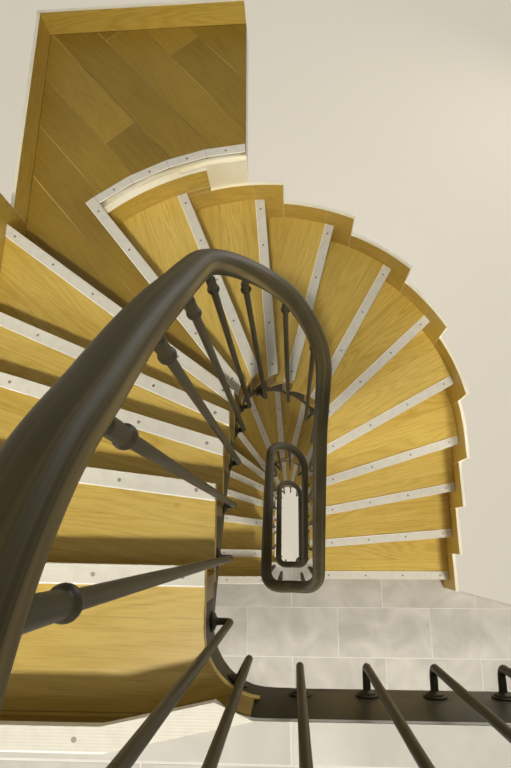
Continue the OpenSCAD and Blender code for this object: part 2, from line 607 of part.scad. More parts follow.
// A rosette keeps its place above the string's lower edge, but clear of the step and the return over it
function rosette_z(st, s) =
    let (r = rosette_d / 2, low = well_low(st, s), top = well_top(st, s - r - return_w + riser_t))
    max(low + r, min(low + rosette_up, top - r - rosette_rim));
module baluster(st, s) {
    n = well_normal(st, s);
    set_off = curve_seat + bow(st, s, rosette_d);
    p = well_pt(st, s, -set_off);
    z = rosette_z(st, s);
    top = bal_top(st, s);
    reach = rail_off(st, s) - set_off;
    translate([p[0], p[1], z])
        rotate([0, 0, atan2(-n[1], -n[0])])
            union() {
                rotate([0, 90, 0])
                    cylinder(h = rosette_t, d = rosette_d, $fn = 48);
                rotate([0, 90, 0])
                    cylinder(h = reach - bend_r, d = bal_d, $fn = 24);
                translate([reach - bend_r, 0, bend_r])
                    rotate([90, 0, 0])
                        rotate_extrude(angle = -90, $fn = 48)
                            translate([bend_r, 0])
                                circle(d = bal_d, $fn = 24);
                translate([reach, 0, bend_r])
                    cylinder(h = top - pin_h - z - bend_r, d = bal_d, $fn = 24);
                translate([reach, 0, bend_r])
                    cylinder(h = top - z - bend_r, r = pin_r, $fn = 24);
                translate([reach, 0, rail_z(st, s) - collar_drop - z])
                    cylinder(h = collar_h, d = collar_d, $fn = 36);
            }
}
module balusters(st) {
    color([0.4, 0.38, 0.33])
        for (s = bal_places(st))
            baluster(st, s);
}
// Newel post at the foot, on a round flange with four anchor holes
module newel() {
    color([0.22, 0.2, 0.17])
        difference() {
            union() {
                cylinder(h = foot_t, d = foot_d, $fn = 64);
                cylinder(h = newel_top, d = newel_d, $fn = 64);
                translate([0, 0, newel_top])
                    sphere(d = newel_d, $fn = 48);
            }
            for (a = [45:90:315])
                rotate([0, 0, a])
                    translate([foot_pcd / 2, 0, -1])
                        cylinder(h = foot_t + 2, d = anchor_d, $fn = 32);
        }
}
module at_storey(st) {
    translate([0, 0, st * storey_h])
        children();
}

at_storey(0) treads(0);  // treads_1
at_storey(1) treads(1);  // treads_2
at_storey(2) treads(2);  // treads_3
at_storey(0) risers(0);  // risers_1
at_storey(1) risers(1);  // risers_2
at_storey(2) risers(2);  // risers_3
at_storey(0) riser_returns(0);  // riser_returns_1
at_storey(1) riser_returns(1);  // riser_returns_2
at_storey(2) riser_returns(2);  // riser_returns_3
at_storey(0) nosing_strips(0);  // nosing_strips_1
at_storey(1) nosing_strips(1);  // nosing_strips_2
at_storey(2) nosing_strips(2);  // nosing_strips_3
at_storey(0) well_string(0);  // well_string_1
at_storey(1) well_string(1);  // well_string_2
at_storey(2) well_string(2);  // well_string_3
at_storey(0) wall_strings(0);  // wall_strings_1
at_storey(1) wall_strings(1);  // wall_strings_2
at_storey(2) wall_strings(2);  // wall_strings_3
at_storey(0) skirtings(0);  // skirtings_1
at_storey(1) skirtings(1);  // skirtings_2
at_storey(2) skirtings(2);  // skirtings_3
at_storey(0) soffit(0);  // soffit_1
at_storey(1) soffit(1);  // soffit_2
at_storey(2) soffit(2);  // soffit_3
at_storey(0) half_floor(0);  // half_floor_1
at_storey(1) half_floor(1);  // half_floor_2
at_storey(2) half_floor(2);  // half_floor_3
at_storey(0) slabs(0);  // slabs_1
at_storey(1) slabs(1);  // slabs_2
at_storey(2) slabs(2);  // slabs_3
at_storey(0) tiles(0);  // tiles_1
at_storey(1) tiles(1);  // tiles_2
at_storey(2) tiles(2);  // tiles_3
at_storey(0) handrail(0);  // handrail_1
at_storey(1) handrail(1);  // handrail_2
at_storey(2) handrail(2);  // handrail_3
at_storey(0) rail_bar(0);  // rail_bar_1
at_storey(1) rail_bar(1);  // rail_bar_2
at_storey(2) rail_bar(2);  // rail_bar_3
at_storey(0) balusters(0);  // balusters_1
at_storey(1) balusters(1);  // balusters_2
at_storey(2) balusters(2);  // balusters_3
newel();
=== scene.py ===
# %% [markdown]
# # An open-well stair with winders, seen down its well
# Three storeys of oak steps climb round a narrow well. On the well side they stand on a cut steel
# string, with bent iron balusters and a moulded handrail that sweeps round the turns. On the outer
# side runs a stepped skirting board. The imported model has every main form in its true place, so this
# script keeps those places and gives each piece the edges, joints, screws and finishes of the real
# one. Sizes are in metres, z is up, and the origin is the middle of the newel's foot.

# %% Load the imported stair
import bpy, bmesh, math, random
from mathutils import Matrix, Vector


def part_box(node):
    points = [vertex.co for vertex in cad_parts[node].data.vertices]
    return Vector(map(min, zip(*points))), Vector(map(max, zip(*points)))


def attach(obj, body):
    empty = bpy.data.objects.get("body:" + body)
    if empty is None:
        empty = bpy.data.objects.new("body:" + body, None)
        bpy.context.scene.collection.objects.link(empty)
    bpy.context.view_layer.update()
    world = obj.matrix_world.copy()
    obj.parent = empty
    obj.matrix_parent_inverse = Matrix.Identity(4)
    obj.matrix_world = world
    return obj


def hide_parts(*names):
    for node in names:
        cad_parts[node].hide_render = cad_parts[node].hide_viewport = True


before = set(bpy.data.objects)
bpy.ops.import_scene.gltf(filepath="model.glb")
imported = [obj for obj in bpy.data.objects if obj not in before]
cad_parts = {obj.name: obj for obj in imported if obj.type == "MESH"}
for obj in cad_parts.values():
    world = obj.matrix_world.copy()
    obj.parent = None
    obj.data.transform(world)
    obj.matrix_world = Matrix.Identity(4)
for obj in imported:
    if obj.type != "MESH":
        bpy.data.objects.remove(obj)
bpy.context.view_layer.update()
storeys = (1, 2, 3)
storey_height, half_landing_rise = 2.754, 11 * 0.162
x_way, y_way, z_way = Vector((1, 0, 0)), Vector((0, 1, 0)), Vector((0, 0, 1))

# %% [markdown]
# ## The view down the well
# The photograph was taken from the top landing, over the handrail, almost straight down. A camera
# could be aimed with a Track To constraint. Here its three axes are written out as a matrix, because
# the picture is tilted a little and a matrix holds position, aim and tilt at once. The lens follows
# from the distance of picture plane to eye, 553.66 pixels of a picture 768 pixels tall.

# %% Camera
def new_object(name, data):
    made = bpy.data.objects.new(name, data)
    bpy.context.scene.collection.objects.link(made)
    return made

view = bpy.data.cameras.new("view_down_the_well")
picture_distance, picture_height = 553.66, 768
view.lens = picture_distance / picture_height * view.sensor_width
view.clip_start = 0.01
eye = new_object("view_down_the_well", view)
rightwards, upwards = Vector((0.99799, 0, -0.06344)), Vector((0.01736, 0.96182, 0.27314))
ahead = Vector((-0.06101, 0.27370, -0.95988))
turned = Matrix((rightwards, upwards, -ahead)).transposed().to_4x4()
eye.matrix_world = Matrix.Translation((-0.1195, 0.307, 9.523)) @ turned
bpy.context.scene.camera = eye
print("lens", round(view.lens, 2), "mm")

# %% [markdown]
# ## Nodes for finishes
# Every finish below is a small net of shader nodes. Wiring them by hand in code gets long, so a few
# helpers come first: one adds a node and fills its sockets with values or wires, and the others name
# the sums that are used most. A screen colour is turned into the linear light that Blender mixes.

# %% Helpers: nodes and sums
def put(tree, kind, feeds=(), **marks):
    made = tree.nodes.new(kind)
    for key, value in marks.items():
        setattr(made, key, value)
    for key, value in dict(feeds).items():
        if isinstance(value, bpy.types.NodeSocket):
            tree.links.new(value, made.inputs[key])
        else:
            made.inputs[key].default_value = value
    return made

def tint(red, green, blue):
    return tuple(((c / 255 + 0.055) / 1.055) ** 2.4 for c in (red, green, blue)) + (1.0,)

def sums(tree, kind, a, b=0.0, c=0.0):
    return put(tree, "ShaderNodeMath", {0: a, 1: b, 2: c}, operation=kind).outputs[0]

def times(tree, a, b):
    return sums(tree, "MULTIPLY", a, b)

def plus(tree, a, b):
    return sums(tree, "ADD", a, b)

def spread(tree, value, low, high, to_low=0.0, to_high=1.0):
    return put(tree, "ShaderNodeMapRange", {0: value, 1: low, 2: high, 3: to_low, 4: to_high}).outputs[0]

def mixed(tree, share, first, second):
    feeds = {0: share, 6: first, 7: second}
    return put(tree, "ShaderNodeMix", feeds, data_type="RGBA").outputs[2]
print("a screen grey of 128 is", round(tint(128, 128, 128)[0], 3), "in linear light")

# %% [markdown]
# ## Where a pattern lies
# A pattern needs a place to lie in. Object coordinates are metres in the stair's own frame and suit
# paint, plaster and stone. Wood follows its board, so each board carries its own coordinates as an
# attribute, and a number that slides the pattern, so that no two boards show the same piece of it.

# %% Helpers: places and clouds
def object_place(tree):
    return put(tree, "ShaderNodeTexCoord").outputs["Object"]

def stored(tree, name, kind="Fac"):
    return put(tree, "ShaderNodeAttribute", attribute_name=name).outputs[kind]

def axes_of(tree, place):
    return put(tree, "ShaderNodeSeparateXYZ", {0: place}).outputs

def from_axes(tree, x=0.0, y=0.0, z=0.0):
    return put(tree, "ShaderNodeCombineXYZ", {0: x, 1: y, 2: z}).outputs[0]

def slid(tree, place, number, x, y):
    shift = from_axes(tree, times(tree, number, x), times(tree, number, y))
    return put(tree, "ShaderNodeVectorMath", {0: place, 1: shift}, operation="ADD").outputs[0]

def cloud(tree, place, scale, detail=2.0, bend=0.0):
    feeds = {"Vector": place, "Scale": scale, "Detail": detail, "Distortion": bend}
    return put(tree, "ShaderNodeTexNoise", feeds).outputs[0]

def stretched(tree, place, scales):
    return put(tree, "ShaderNodeMapping", {"Vector": place, "Scale": scales}).outputs[0]

def stretched_cloud(tree, place, scales, detail, bend=0.0):
    return cloud(tree, stretched(tree, place, scales), 1.0, detail, bend)
print("pattern helpers ready")

# %% Helpers: a bare material, its colour and bump
def bare(name, roughness, **more):
    made = bpy.data.materials.new(name)
    made.use_nodes = True
    skin = made.node_tree.nodes["Principled BSDF"]
    skin.inputs["Roughness"].default_value = roughness
    for key, value in more.items():
        skin.inputs[key.replace("_", " ")].default_value = value
    return made, made.node_tree, skin

def colour_and_bump(tree, skin, colour, height=None, strength=0.3, depth=0.0005, roughness=None):
    tree.links.new(colour, skin.inputs["Base Color"])
    if roughness is not None:
        tree.links.new(roughness, skin.inputs["Roughness"])
    if height is not None:
        feeds = {"Height": height, "Strength": strength, "Distance": depth}
        tree.links.new(put(tree, "ShaderNodeBump", feeds).outputs[0], skin.inputs["Normal"])
print("material helpers ready")

# %% [markdown]
# ## Pale room and floor
# A studio keeps the stair readable from all sides: a plain pale floor and a pale even world. The
# floor could be lit white with more light, but that would bleach the oak. So the Light Path node
# gives the camera, and what mirrors in metal, a paler room than the one that lights the stair. The
# floor keeps a quarter of its true shading, so the stair's shadow still falls on it.

# %% World
pale_room, dim_room = tint(226, 217, 198), (0.19, 0.187, 0.18, 1)

def seen_ray(tree):
    ray = put(tree, "ShaderNodeLightPath").outputs
    seen = sums(tree, "MAXIMUM", ray["Is Camera Ray"], ray["Is Glossy Ray"])
    return sums(tree, "MAXIMUM", seen, ray["Is Transmission Ray"])

world = bpy.data.worlds.new("pale_room")
world.use_nodes = True
air = world.node_tree
air.links.new(mixed(air, seen_ray(air), dim_room, pale_room), air.nodes["Background"].inputs["Color"])
bpy.context.scene.world = world
print("world", world.name)

# %% Floor
reach, just_below, glow_share = 300, -0.001, 0.76
floor_mesh = bpy.data.meshes.new("studio_floor")
floor_corners = [(a * reach, b * reach, just_below) for a, b in ((-1, -1), (1, -1), (1, 1), (-1, 1))]
floor_mesh.from_pydata(floor_corners, [], [(0, 1, 2, 3)])
floor = new_object("studio_floor", floor_mesh)
pale, tree, skin = bare("studio_floor", 0.9)
mottle = cloud(tree, object_place(tree), 0.6, 3)
colour_and_bump(tree, skin, mixed(tree, mottle, tint(222, 214, 196), tint(230, 223, 207)))
glow = put(tree, "ShaderNodeEmission", {"Color": pale_room, "Strength": 1.0})
shown = times(tree, seen_ray(tree), glow_share)
both = put(tree, "ShaderNodeMixShader", {0: shown, 1: skin.outputs[0], 2: glow.outputs[0]})
tree.links.new(both.outputs[0], tree.nodes["Material Output"].inputs["Surface"])
floor_mesh.materials.append(pale)
print("floor", 2 * reach, "m wide")

# %% [markdown]
# ## Lamps
# The photograph shows soft light from above, stronger over the well than over the half landing, so
# one lamp with a narrow beam serves the top landing, a wide one hangs over the well, and a lower one
# reaches the right flight from the front. Two broad lamps at the sides show strings and soffits to a
# viewer beside the stair. Together they are weak enough that a colour renders about as it is written.
# Sun lamps would be simpler, but their hard shadows would hide the lower storeys.

# %% Lamps
def soft_lamp(name, place, target, size, watts, beam, colour):
    light = bpy.data.lights.new(name, "AREA")
    light.shape, light.size, light.energy, light.color = "DISK", size, watts, colour
    light.spread = math.radians(beam)
    lamp = new_object(name, light)
    lamp.location = place
    lamp.rotation_euler = (Vector(target) - Vector(place)).to_track_quat("-Z", "Y").to_euler()

soft_lamp("lamp_over_landing", (-1.2, -5.4, 22.0), (-0.9, 0.3, 8.0), 1.4, 25, 22, (1.0, 0.98, 0.93))
soft_lamp("lamp_over_well", (0.6, -1.4, 24.0), (0.1, 0.9, 5.0), 2.4, 120, 180, (1.0, 0.98, 0.94))
soft_lamp("lamp_low_front", (3.4, -6.0, 12.0), (0.5, 0.3, 5.6), 2.2, 96, 60, (1.0, 0.98, 0.94))
soft_lamp("lamp_left", (-8.0, -6.5, 4.2), (0, 1, 4.4), 5.0, 420, 180, (1.0, 0.98, 0.95))
soft_lamp("lamp_behind", (6.0, 9.5, 4.2), (0, 1, 4.4), 5.0, 420, 180, (0.98, 0.99, 1.0))
print("lamps", len(bpy.data.lights))

# %% [markdown]
# ## Single boards out of a node
# On the real stair every tread, riser and skirting board was planed by itself, so each has its own
# eased corners and its own grain. A node of the model holds all boards of one kind as loose
# triangles. The helpers below join the triangles, make flat faces whole again, split the node into its
# solids in a fixed order, and ease the corners with a narrow bevel.

# %% Helpers: the solids of a node
def whole_mesh(node, flat=0.3):
    made = bmesh.new()
    made.from_mesh(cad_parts[node].data)
    bmesh.ops.remove_doubles(made, verts=made.verts, dist=0.00002)
    if flat:
        angle = math.radians(flat)
        bmesh.ops.dissolve_limit(made, angle_limit=angle, verts=made.verts[:], edges=made.edges[:])
    return made

def linked_faces(start, seen):
    heap, group = [start], []
    seen.add(start.index)
    while heap:
        face = heap.pop()
        group.append(face)
        for other in (f for edge in face.edges for f in edge.link_faces):
            if other.index not in seen:
                seen.add(other.index)
                heap.append(other)
    return group

def middle(piece):
    spots = [v.co for v in piece.verts]
    return [sum(p[i] for p in spots) / len(spots) for i in range(3)]

def solids(node, flat=0.3):
    made, seen, found = whole_mesh(node, flat), set(), []
    made.faces.ensure_lookup_table()
    for start in made.faces:
        if start.index in seen:
            continue
        piece, twins = bmesh.new(), {}
        for face in linked_faces(start, seen):
            for v in face.verts:
                if v not in twins:
                    twins[v] = piece.verts.new(v.co)
            piece.faces.new([twins[v] for v in face.verts])
        piece.normal_update()
        found.append(piece)
    made.free()
    return sorted(found, key=lambda piece: [round(v, 3) for v in (middle(piece)[2], *middle(piece)[:2])])
print("the first storey has", len(solids("treads_1")), "treads")

# %% Helpers: eased corners, a slab under a ring of points
def ease(piece, width, steps=2, sharper=40):
    bmesh.ops.dissolve_degenerate(piece, dist=0.0006, edges=piece.edges[:])
    angle = math.radians(sharper)
    edges = [e for e in piece.edges if len(e.link_faces) == 2 and e.calc_face_angle(0) > angle]
    bmesh.ops.bevel(piece, geom=edges, offset=width, offset_type="OFFSET", segments=steps, profile=0.6,
                    affect="EDGES", clamp_overlap=True)
    return piece

def slab_of(ring, thickness, width):
    piece = bmesh.new()
    upper = [piece.verts.new(p) for p in ring]
    lower = [piece.verts.new(p - z_way * thickness) for p in ring]
    piece.faces.new(upper)
    piece.faces.new(lower[::-1])
    for i in range(len(ring)):
        j = (i + 1) % len(ring)
        piece.faces.new([lower[i], lower[j], upper[j], upper[i]])
    return ease(piece, width, 1)
print("corner helpers ready")

# %% [markdown]
# ## A board's own coordinates, one object out of many boards
# Grain has to run along each board, whichever way the board lies. UV maps would do for flat faces
# but cut the grain at every edge. So each point stores its distance along, across and above its
# board's corner, and the shader reads that as a solid block of wood. The boards of a node are then
# joined in one object, which hides the node and stands for it.

# %% Helpers: board coordinates
def unit(v):
    return v / (v.length or 1)

def level(v):
    return v * Vector((1, 1, 0))

def own_layer(kind, name):
    return kind.get(name) or kind.new(name)

def measure(piece, origin, along, across, tone):
    co = own_layer(piece.verts.layers.float_vector, "board_co")
    own = own_layer(piece.verts.layers.float, "tone")
    above = along.cross(across)
    for v in piece.verts:
        d = v.co - origin
        v[co] = (d.dot(along), d.dot(across), d.dot(above))
        v[own] = tone
    return piece
print("board helpers ready")

# %% Helpers: finished objects
def place_object(name, mesh, finishes, node=None, soft=32, weights="FACE_AREA"):
    made = new_object(name, mesh)
    if len(mesh.materials):
        mesh.materials.clear()
    for finish in finishes if isinstance(finishes, list) else [finishes]:
        mesh.materials.append(finish)
    if soft:
        mesh.shade_smooth()
        mesh.set_sharp_from_angle(angle=math.radians(soft))
    if soft and weights:
        evened = made.modifiers.new("even_shading", "WEIGHTED_NORMAL")
        evened.keep_sharp, evened.mode = True, weights
    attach(made, "root")
    if node:
        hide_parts(node)
    return made

def assemble(name, pieces, finishes, node=None, soft=32, weights="FACE_AREA"):
    whole = bmesh.new()
    for piece in pieces:
        part = bpy.data.meshes.new("part")
        piece.to_mesh(part)
        piece.free()
        whole.from_mesh(part)
        bpy.data.meshes.remove(part)
    mesh = bpy.data.meshes.new(name)
    whole.to_mesh(mesh)
    whole.free()
    return place_object(name, mesh, finishes, node, soft, weights)
print("object helpers ready")

# %% [markdown]
# ## Oak
# Oak shows three things at this distance: wide arches of growth rings, short dark pores along the
# grain, and a soft change of tone from board to board. A picture of wood would repeat and would need
# unwrapping. Noise stretched along the board's own length does it better: fold the stretched noise
# into bands and it draws the arches, stretch it further and it draws the pores. A tread is glued of
# staves, so its tone and grain jump from stave to stave, with a faint dark seam between them.

# %% Helpers: what the grain is made of
knot_tint, pore_tint = tint(112, 74, 30), tint(120, 84, 34)
seam_tint, joint_tint = tint(104, 76, 28), tint(96, 70, 26)

def growth_rings(tree, spot):
    arches = stretched_cloud(tree, spot, (0.75, 6.5, 6.5), 1.6, 0.35)
    folded = sums(tree, "PINGPONG", times(tree, arches, 19.0), 0.5)
    return sums(tree, "POWER", times(tree, folded, 2.0), 1.6)

def knots(tree, spot):
    slimmed = stretched(tree, spot, (1.0, 1.5, 1.5))
    cells = put(tree, "ShaderNodeTexVoronoi", {"Vector": slimmed, "Scale": 3.1})
    return spread(tree, cells.outputs["Distance"], 0.0, 0.045, 0.55, 0.0)

def staves(tree, across, tone, stave):
    rows = sums(tree, "DIVIDE", across, stave)
    mark = plus(tree, sums(tree, "FLOOR", rows), times(tree, tone, 97.0))
    number = put(tree, "ShaderNodeTexWhiteNoise", {"W": mark}, noise_dimensions="1D").outputs["Value"]
    return number, sums(tree, "COMPARE", sums(tree, "FRACT", rows), 0.006, 0.005)
print("grain helpers ready")

# %% Oak finish
def oak(name, pale_wood, deep_wood, stave=0.0, shine=0.34, back_joint=False, apart=0.42, arch=0.30):
    made, tree, skin = bare(name, shine, Specular_IOR_Level=0.36)
    place, number = stored(tree, "board_co", "Vector"), stored(tree, "tone")
    if stave:
        number, seam = staves(tree, axes_of(tree, place)[1], number, stave)
    spot = slid(tree, place, number, 31.0, 7.3)
    rings = growth_rings(tree, spot)
    pores = spread(tree, stretched_cloud(tree, spot, (11.0, 330.0, 330.0), 2.0), 0.54, 0.72)
    soft = stretched_cloud(tree, spot, (1.3, 3.2, 3.2), 3.0)
    light = plus(tree, times(tree, soft, 0.85), times(tree, rings, -arch))
    light = plus(tree, light, times(tree, number, apart))
    colour = mixed(tree, plus(tree, light, 0.19 - apart / 2), deep_wood, pale_wood)
    colour = mixed(tree, knots(tree, spot), colour, knot_tint)
    colour = mixed(tree, times(tree, pores, 0.38), colour, pore_tint)
    if stave:
        colour = mixed(tree, times(tree, seam, 0.4), colour, seam_tint)
    groove = pores
    if back_joint:
        line = sums(tree, "COMPARE", stored(tree, "back"), 0.028, 0.0013)
        colour = mixed(tree, times(tree, line, 0.6), colour, joint_tint)
        groove = sums(tree, "MAXIMUM", pores, line)
    height = plus(tree, times(tree, groove, -0.7), times(tree, rings, 0.25))
    rough = plus(tree, times(tree, pores, 0.16), shine)
    colour_and_bump(tree, skin, colour, height, 0.35, 0.0005, rough)
    return made

tread_oak = oak("golden_oak", tint(225, 195, 104), tint(180, 146, 52), stave=0.115, back_joint=True)
# The risers' oak is painted darker, as painted shade for the shade under the nosings.
riser_oak = oak("riser_oak", tint(152, 120, 44), tint(106, 80, 22))
board_oak = oak("skirting_oak", tint(222, 190, 94), tint(182, 148, 54))
# The landing oak is painted darker than the treads', as painted shade for the dimmer light over the half
# landing.
landing_oak_painted_shade = oak("landing_oak", tint(164, 134, 50), tint(112, 87, 22), shine=0.42, apart=0.34, arch=0.14)
return_oak = oak("return_oak", tint(164, 132, 62), tint(116, 88, 36))
print("oak finishes", [m.name for m in (tread_oak, riser_oak, board_oak, landing_oak_painted_shade, return_oak)])

# %% [markdown]
# ## Paint, plaster and iron
# The other finishes are plainer, yet none is one flat colour. Brushed paint has faint clouding and a
# skin like orange peel, plaster has the stipple of its roller, and old iron paint wears a little
# lighter in patches. One function draws them all from two tints, the size of the patches and the
# size of the grain. Along both flanks the handrail's paint is lighter: partly paint rubbed thin by
# years of hands, partly a painted highlight where the flank catches the light. That mark follows the
# rail, so it is drawn in the rail's own coordinates: across, up and along.

# %% Helpers: wear and painted highlight of the handrail, any painted finish
def wear_and_highlight_flanks(tree, colour, wear_and_highlight):
    place = stored(tree, "round_rail", "Vector")
    across, upwards = axes_of(tree, place)[:2]
    streaks = spread(tree, stretched_cloud(tree, place, (6, 6, 1.1), 4.0), 0.54, 0.76, 0, 0.27)
    colour = mixed(tree, streaks, colour, wear_and_highlight)
    # Lighter flanks: partly worn paint, partly a painted highlight where the flank catches the light.
    flank = spread(tree, sums(tree, "ABSOLUTE", across), 0.455, 0.492)
    low = spread(tree, sums(tree, "ABSOLUTE", plus(tree, upwards, 0.10)), 0.12, 0.24, 1, 0)
    broken = spread(tree, stretched_cloud(tree, place, (2, 2, 3), 4.0), 0.34, 0.60, 0.12, 0.62)
    return mixed(tree, times(tree, times(tree, flank, low), broken), colour, wear_and_highlight)

def painted(name, light, dark, roughness, grain=320.0, patch=4.0, strength=0.18, depth=0.0004,
            wear_and_highlight=None, **more):
    made, tree, skin = bare(name, roughness, **more)
    place = object_place(tree)
    patches = spread(tree, cloud(tree, place, patch, 5.0), 0.35, 0.68)
    fine = cloud(tree, place, grain, 2.0)
    colour = mixed(tree, patches, dark, light)
    colour = mixed(tree, times(tree, fine, 0.10), colour, dark)
    if wear_and_highlight:
        colour = wear_and_highlight_flanks(tree, colour, wear_and_highlight)
    rough = plus(tree, times(tree, patches, 0.12), roughness - 0.05)
    colour_and_bump(tree, skin, colour, fine, strength, depth, rough)
    return made
print("paint helpers ready")

# %% Painted finishes
# The rail's flanks are painted lighter, as worn paint and as a painted highlight.
rail_paint = painted("rail_paint", tint(71, 63, 38), tint(50, 44, 26), 0.50, grain=420,
                     wear_and_highlight=tint(150, 130, 84), Specular_IOR_Level=0.16)
iron_paint = painted("baluster_paint", tint(66, 59, 37), tint(46, 41, 25), 0.46, grain=500,
                     Specular_IOR_Level=0.25)
string_paint = painted("string_paint", tint(60, 53, 31), tint(38, 33, 18), 0.48, grain=380, patch=6.0,
                       Specular_IOR_Level=0.3)
cream_paint = painted("cream_paint", tint(250, 243, 220), tint(240, 229, 196), 0.45, grain=260)
plaster = painted("cream_plaster", tint(234, 225, 200), tint(224, 213, 184), 0.8, grain=150, patch=1.4,
                  strength=0.35, depth=0.001)
slab_plaster = painted("slab_plaster", tint(226, 219, 200), tint(212, 204, 182), 0.85, grain=120,
                       patch=1.8, strength=0.4, depth=0.0012)
screw_metal = painted("screw_metal", tint(150, 146, 132), tint(116, 112, 100), 0.45, Metallic=0.3)
grout = painted("grout", tint(226, 222, 212), tint(210, 205, 194), 0.9, grain=600)
joint_filler = painted("joint_filler", tint(206, 177, 100), tint(98, 76, 28), 0.6, patch=1.7)
# A dark strip laid at the foot of the landing's skirting: a painted shadow.
joint_shadow = painted("joint_shadow", tint(84, 62, 20), tint(60, 44, 14), 0.8)
print("finishes so far", len(bpy.data.materials))

# %% [markdown]
# ## Strips and stone
# The nosing strips are pale and finely ribbed for grip, with a painted highlight along the back edge,
# where its chamfer catches the light, and scuffs where feet land. Modelled ribs 6 mm apart would need
# many faces for what the eye sees as a faint shimmer, so a sine across the strip bumps them. The stone
# tiles are mottled grey, each with its own shade.

# %% Nosing strip and tile finishes
def strip_finish():
    made, tree, skin = bare("nosing_strip", 0.55, Specular_IOR_Level=0.3)
    place, rib_spacing = stored(tree, "board_co", "Vector"), 0.006
    scuffs = spread(tree, cloud(tree, place, 26.0, 5.0), 0.45, 0.72)
    colour = mixed(tree, times(tree, scuffs, 0.35), tint(216, 210, 192), tint(190, 184, 166))
    ribs = sums(tree, "SINE", times(tree, axes_of(tree, place)[1], 2 * math.pi / rib_spacing))
    colour = mixed(tree, spread(tree, ribs, 0.75, 1.0, 0.0, 0.2), colour, tint(176, 170, 152))
    # A painted highlight: the back edge is painted near white, as if its chamfer caught the light.
    painted_back_highlight = spread(tree, stored(tree, "back"), 0.0034, 0.0026)
    colour = mixed(tree, painted_back_highlight, colour, tint(250, 246, 232))
    colour_and_bump(tree, skin, colour, ribs, 0.25, 0.0004)
    return made

def tile_finish(name, light, dark):
    made, tree, skin = bare(name, 0.6, Specular_IOR_Level=0.3)
    tone = stored(tree, "tone")
    spot = slid(tree, stored(tree, "board_co", "Vector"), tone, 23.0, 11.0)
    clouds = spread(tree, cloud(tree, spot, 4.5, 6.0, 0.8), 0.35, 0.68)
    specks = spread(tree, cloud(tree, spot, 240.0, 2.0), 0.55, 0.75)
    shade = plus(tree, times(tree, clouds, 0.75), times(tree, tone, 0.25))
    colour = mixed(tree, times(tree, specks, 0.22), mixed(tree, shade, dark, light), dark)
    rough = plus(tree, times(tree, clouds, 0.16), 0.52)
    colour_and_bump(tree, skin, colour, clouds, 0.15, 0.0006, rough)
    return made

strip_metal = strip_finish()
stone_tile = tile_finish("stone_tile", tint(206, 200, 188), tint(174, 168, 155))
print("all finishes", len(bpy.data.materials))

# %% [markdown]
# ## Treads
# Each tread is a board of glued oak staves, 32 mm thick, with a rounded nosing under the pale strip.
# Its grain runs along its front edge. On a winder the front and back edges aren't parallel, so the
# board's own axes are read from its two longest top edges. The well lies behind the start of the
# front edge, which tells front from back. The back edge gives a thin joint line before the riser.

# %% Helpers: front, back and axes of a step
chance = random.Random(17)
well_middle, well_straight = Vector((-0.128, 0, 0)), 0.887

def from_well(p):
    return (Vector((p.x, p.y - min(max(p.y, 0.0), well_straight), 0)) - well_middle).length

def front_and_back(piece):
    top = max((f for f in piece.faces if f.normal.z > 0.95), key=lambda f: f.calc_area())
    sides = sorted(top.loops, key=lambda l: -l.edge.calc_length())[:2]
    ends = [(l.vert.co.copy(), l.link_loop_next.vert.co.copy()) for l in sides]
    return sorted(ends, key=lambda e: from_well(e[0]) - from_well(e[1]))

def measured_step(piece, width):
    ease(piece, width)
    (near, far), (back_far, back_near) = front_and_back(piece)
    along = unit(level(far - near))
    measure(piece, near, along, Vector((-along.y, along.x, 0)), chance.random())
    behind = unit(level(back_near - back_far))
    inward = Vector((-behind.y, behind.x, 0))
    back = own_layer(piece.verts.layers.float, "back")
    for v in piece.verts:
        v[back] = (v.co - back_far).dot(inward)
    return piece
print("well", well_straight, "m long between its turns")

# %% Treads
for k in storeys:
    boards = [measured_step(piece, 0.0025) for piece in solids(f"treads_{k}")]
    made = assemble(f"oak_treads_{k}", boards, tread_oak, f"treads_{k}")
    print(made.name, len(boards), "boards", len(made.data.polygons), "faces")

# %% [markdown]
# ## Risers and returns
# Risers close the steps at the back, and small oak returns cover their ends on the string. The
# risers' oak is painted darker than a tread's, as painted shade for the shade under the nosings, and
# the returns' oak is darker too. Under the half landing the riser is curved and painted cream. Its
# pieces could be an object of their own, but they are easy to tell by their many corners, and a
# second finish on the same object keeps all risers of a storey together.

# %% Risers and returns
def long_way(piece):
    flat = [level(v.co) for v in piece.verts]
    start = max(flat, key=lambda p: (p - flat[0]).length)
    end = max(flat, key=lambda p: (p - start).length)
    return unit(end - start)

def measured_board(piece, width):
    ease(piece, width)
    return measure(piece, Vector(middle(piece)), long_way(piece), z_way, chance.random())

for k in storeys:
    parts = solids(f"risers_{k}")
    curved = [len(piece.verts) > 20 for piece in parts]
    boards = [measured_board(piece, 0.0012) for piece in parts]
    for board, bent in zip(boards, curved):
        for face in board.faces:
            face.material_index = int(bent)
    made = assemble(f"oak_risers_{k}", boards, [riser_oak, cream_paint], f"risers_{k}")
    ends = [measured_board(piece, 0.0015) for piece in solids(f"riser_returns_{k}")]
    more = assemble(f"oak_returns_{k}", ends, return_oak, f"riser_returns_{k}")
    print(made.name, len(boards), "boards;", more.name, len(ends))

# %% [markdown]
# ## Skirting
# The skirting climbs in steps, one board to a step: its face is oiled oak, its sawn top and ends are
# painted cream. Paint on an edge could be a second object, but a second material on those faces is
# simpler and follows the board exactly. A sawn end is a narrow, upright face.

# %% Skirting boards with cream edges
board_thick, end_width, least_height = 0.018, 0.024, 0.02

def cream_edges(piece):
    for face in piece.faces:
        spots = [v.co for v in face.verts]
        wide = max(level(a - b).length for a in spots for b in spots)
        tall = max(p.z for p in spots) - min(p.z for p in spots)
        sawn_end = abs(face.normal.z) < 0.3 and wide < end_width and tall > least_height
        face.material_index = int(face.normal.z > 0.5 or sawn_end)
    return piece

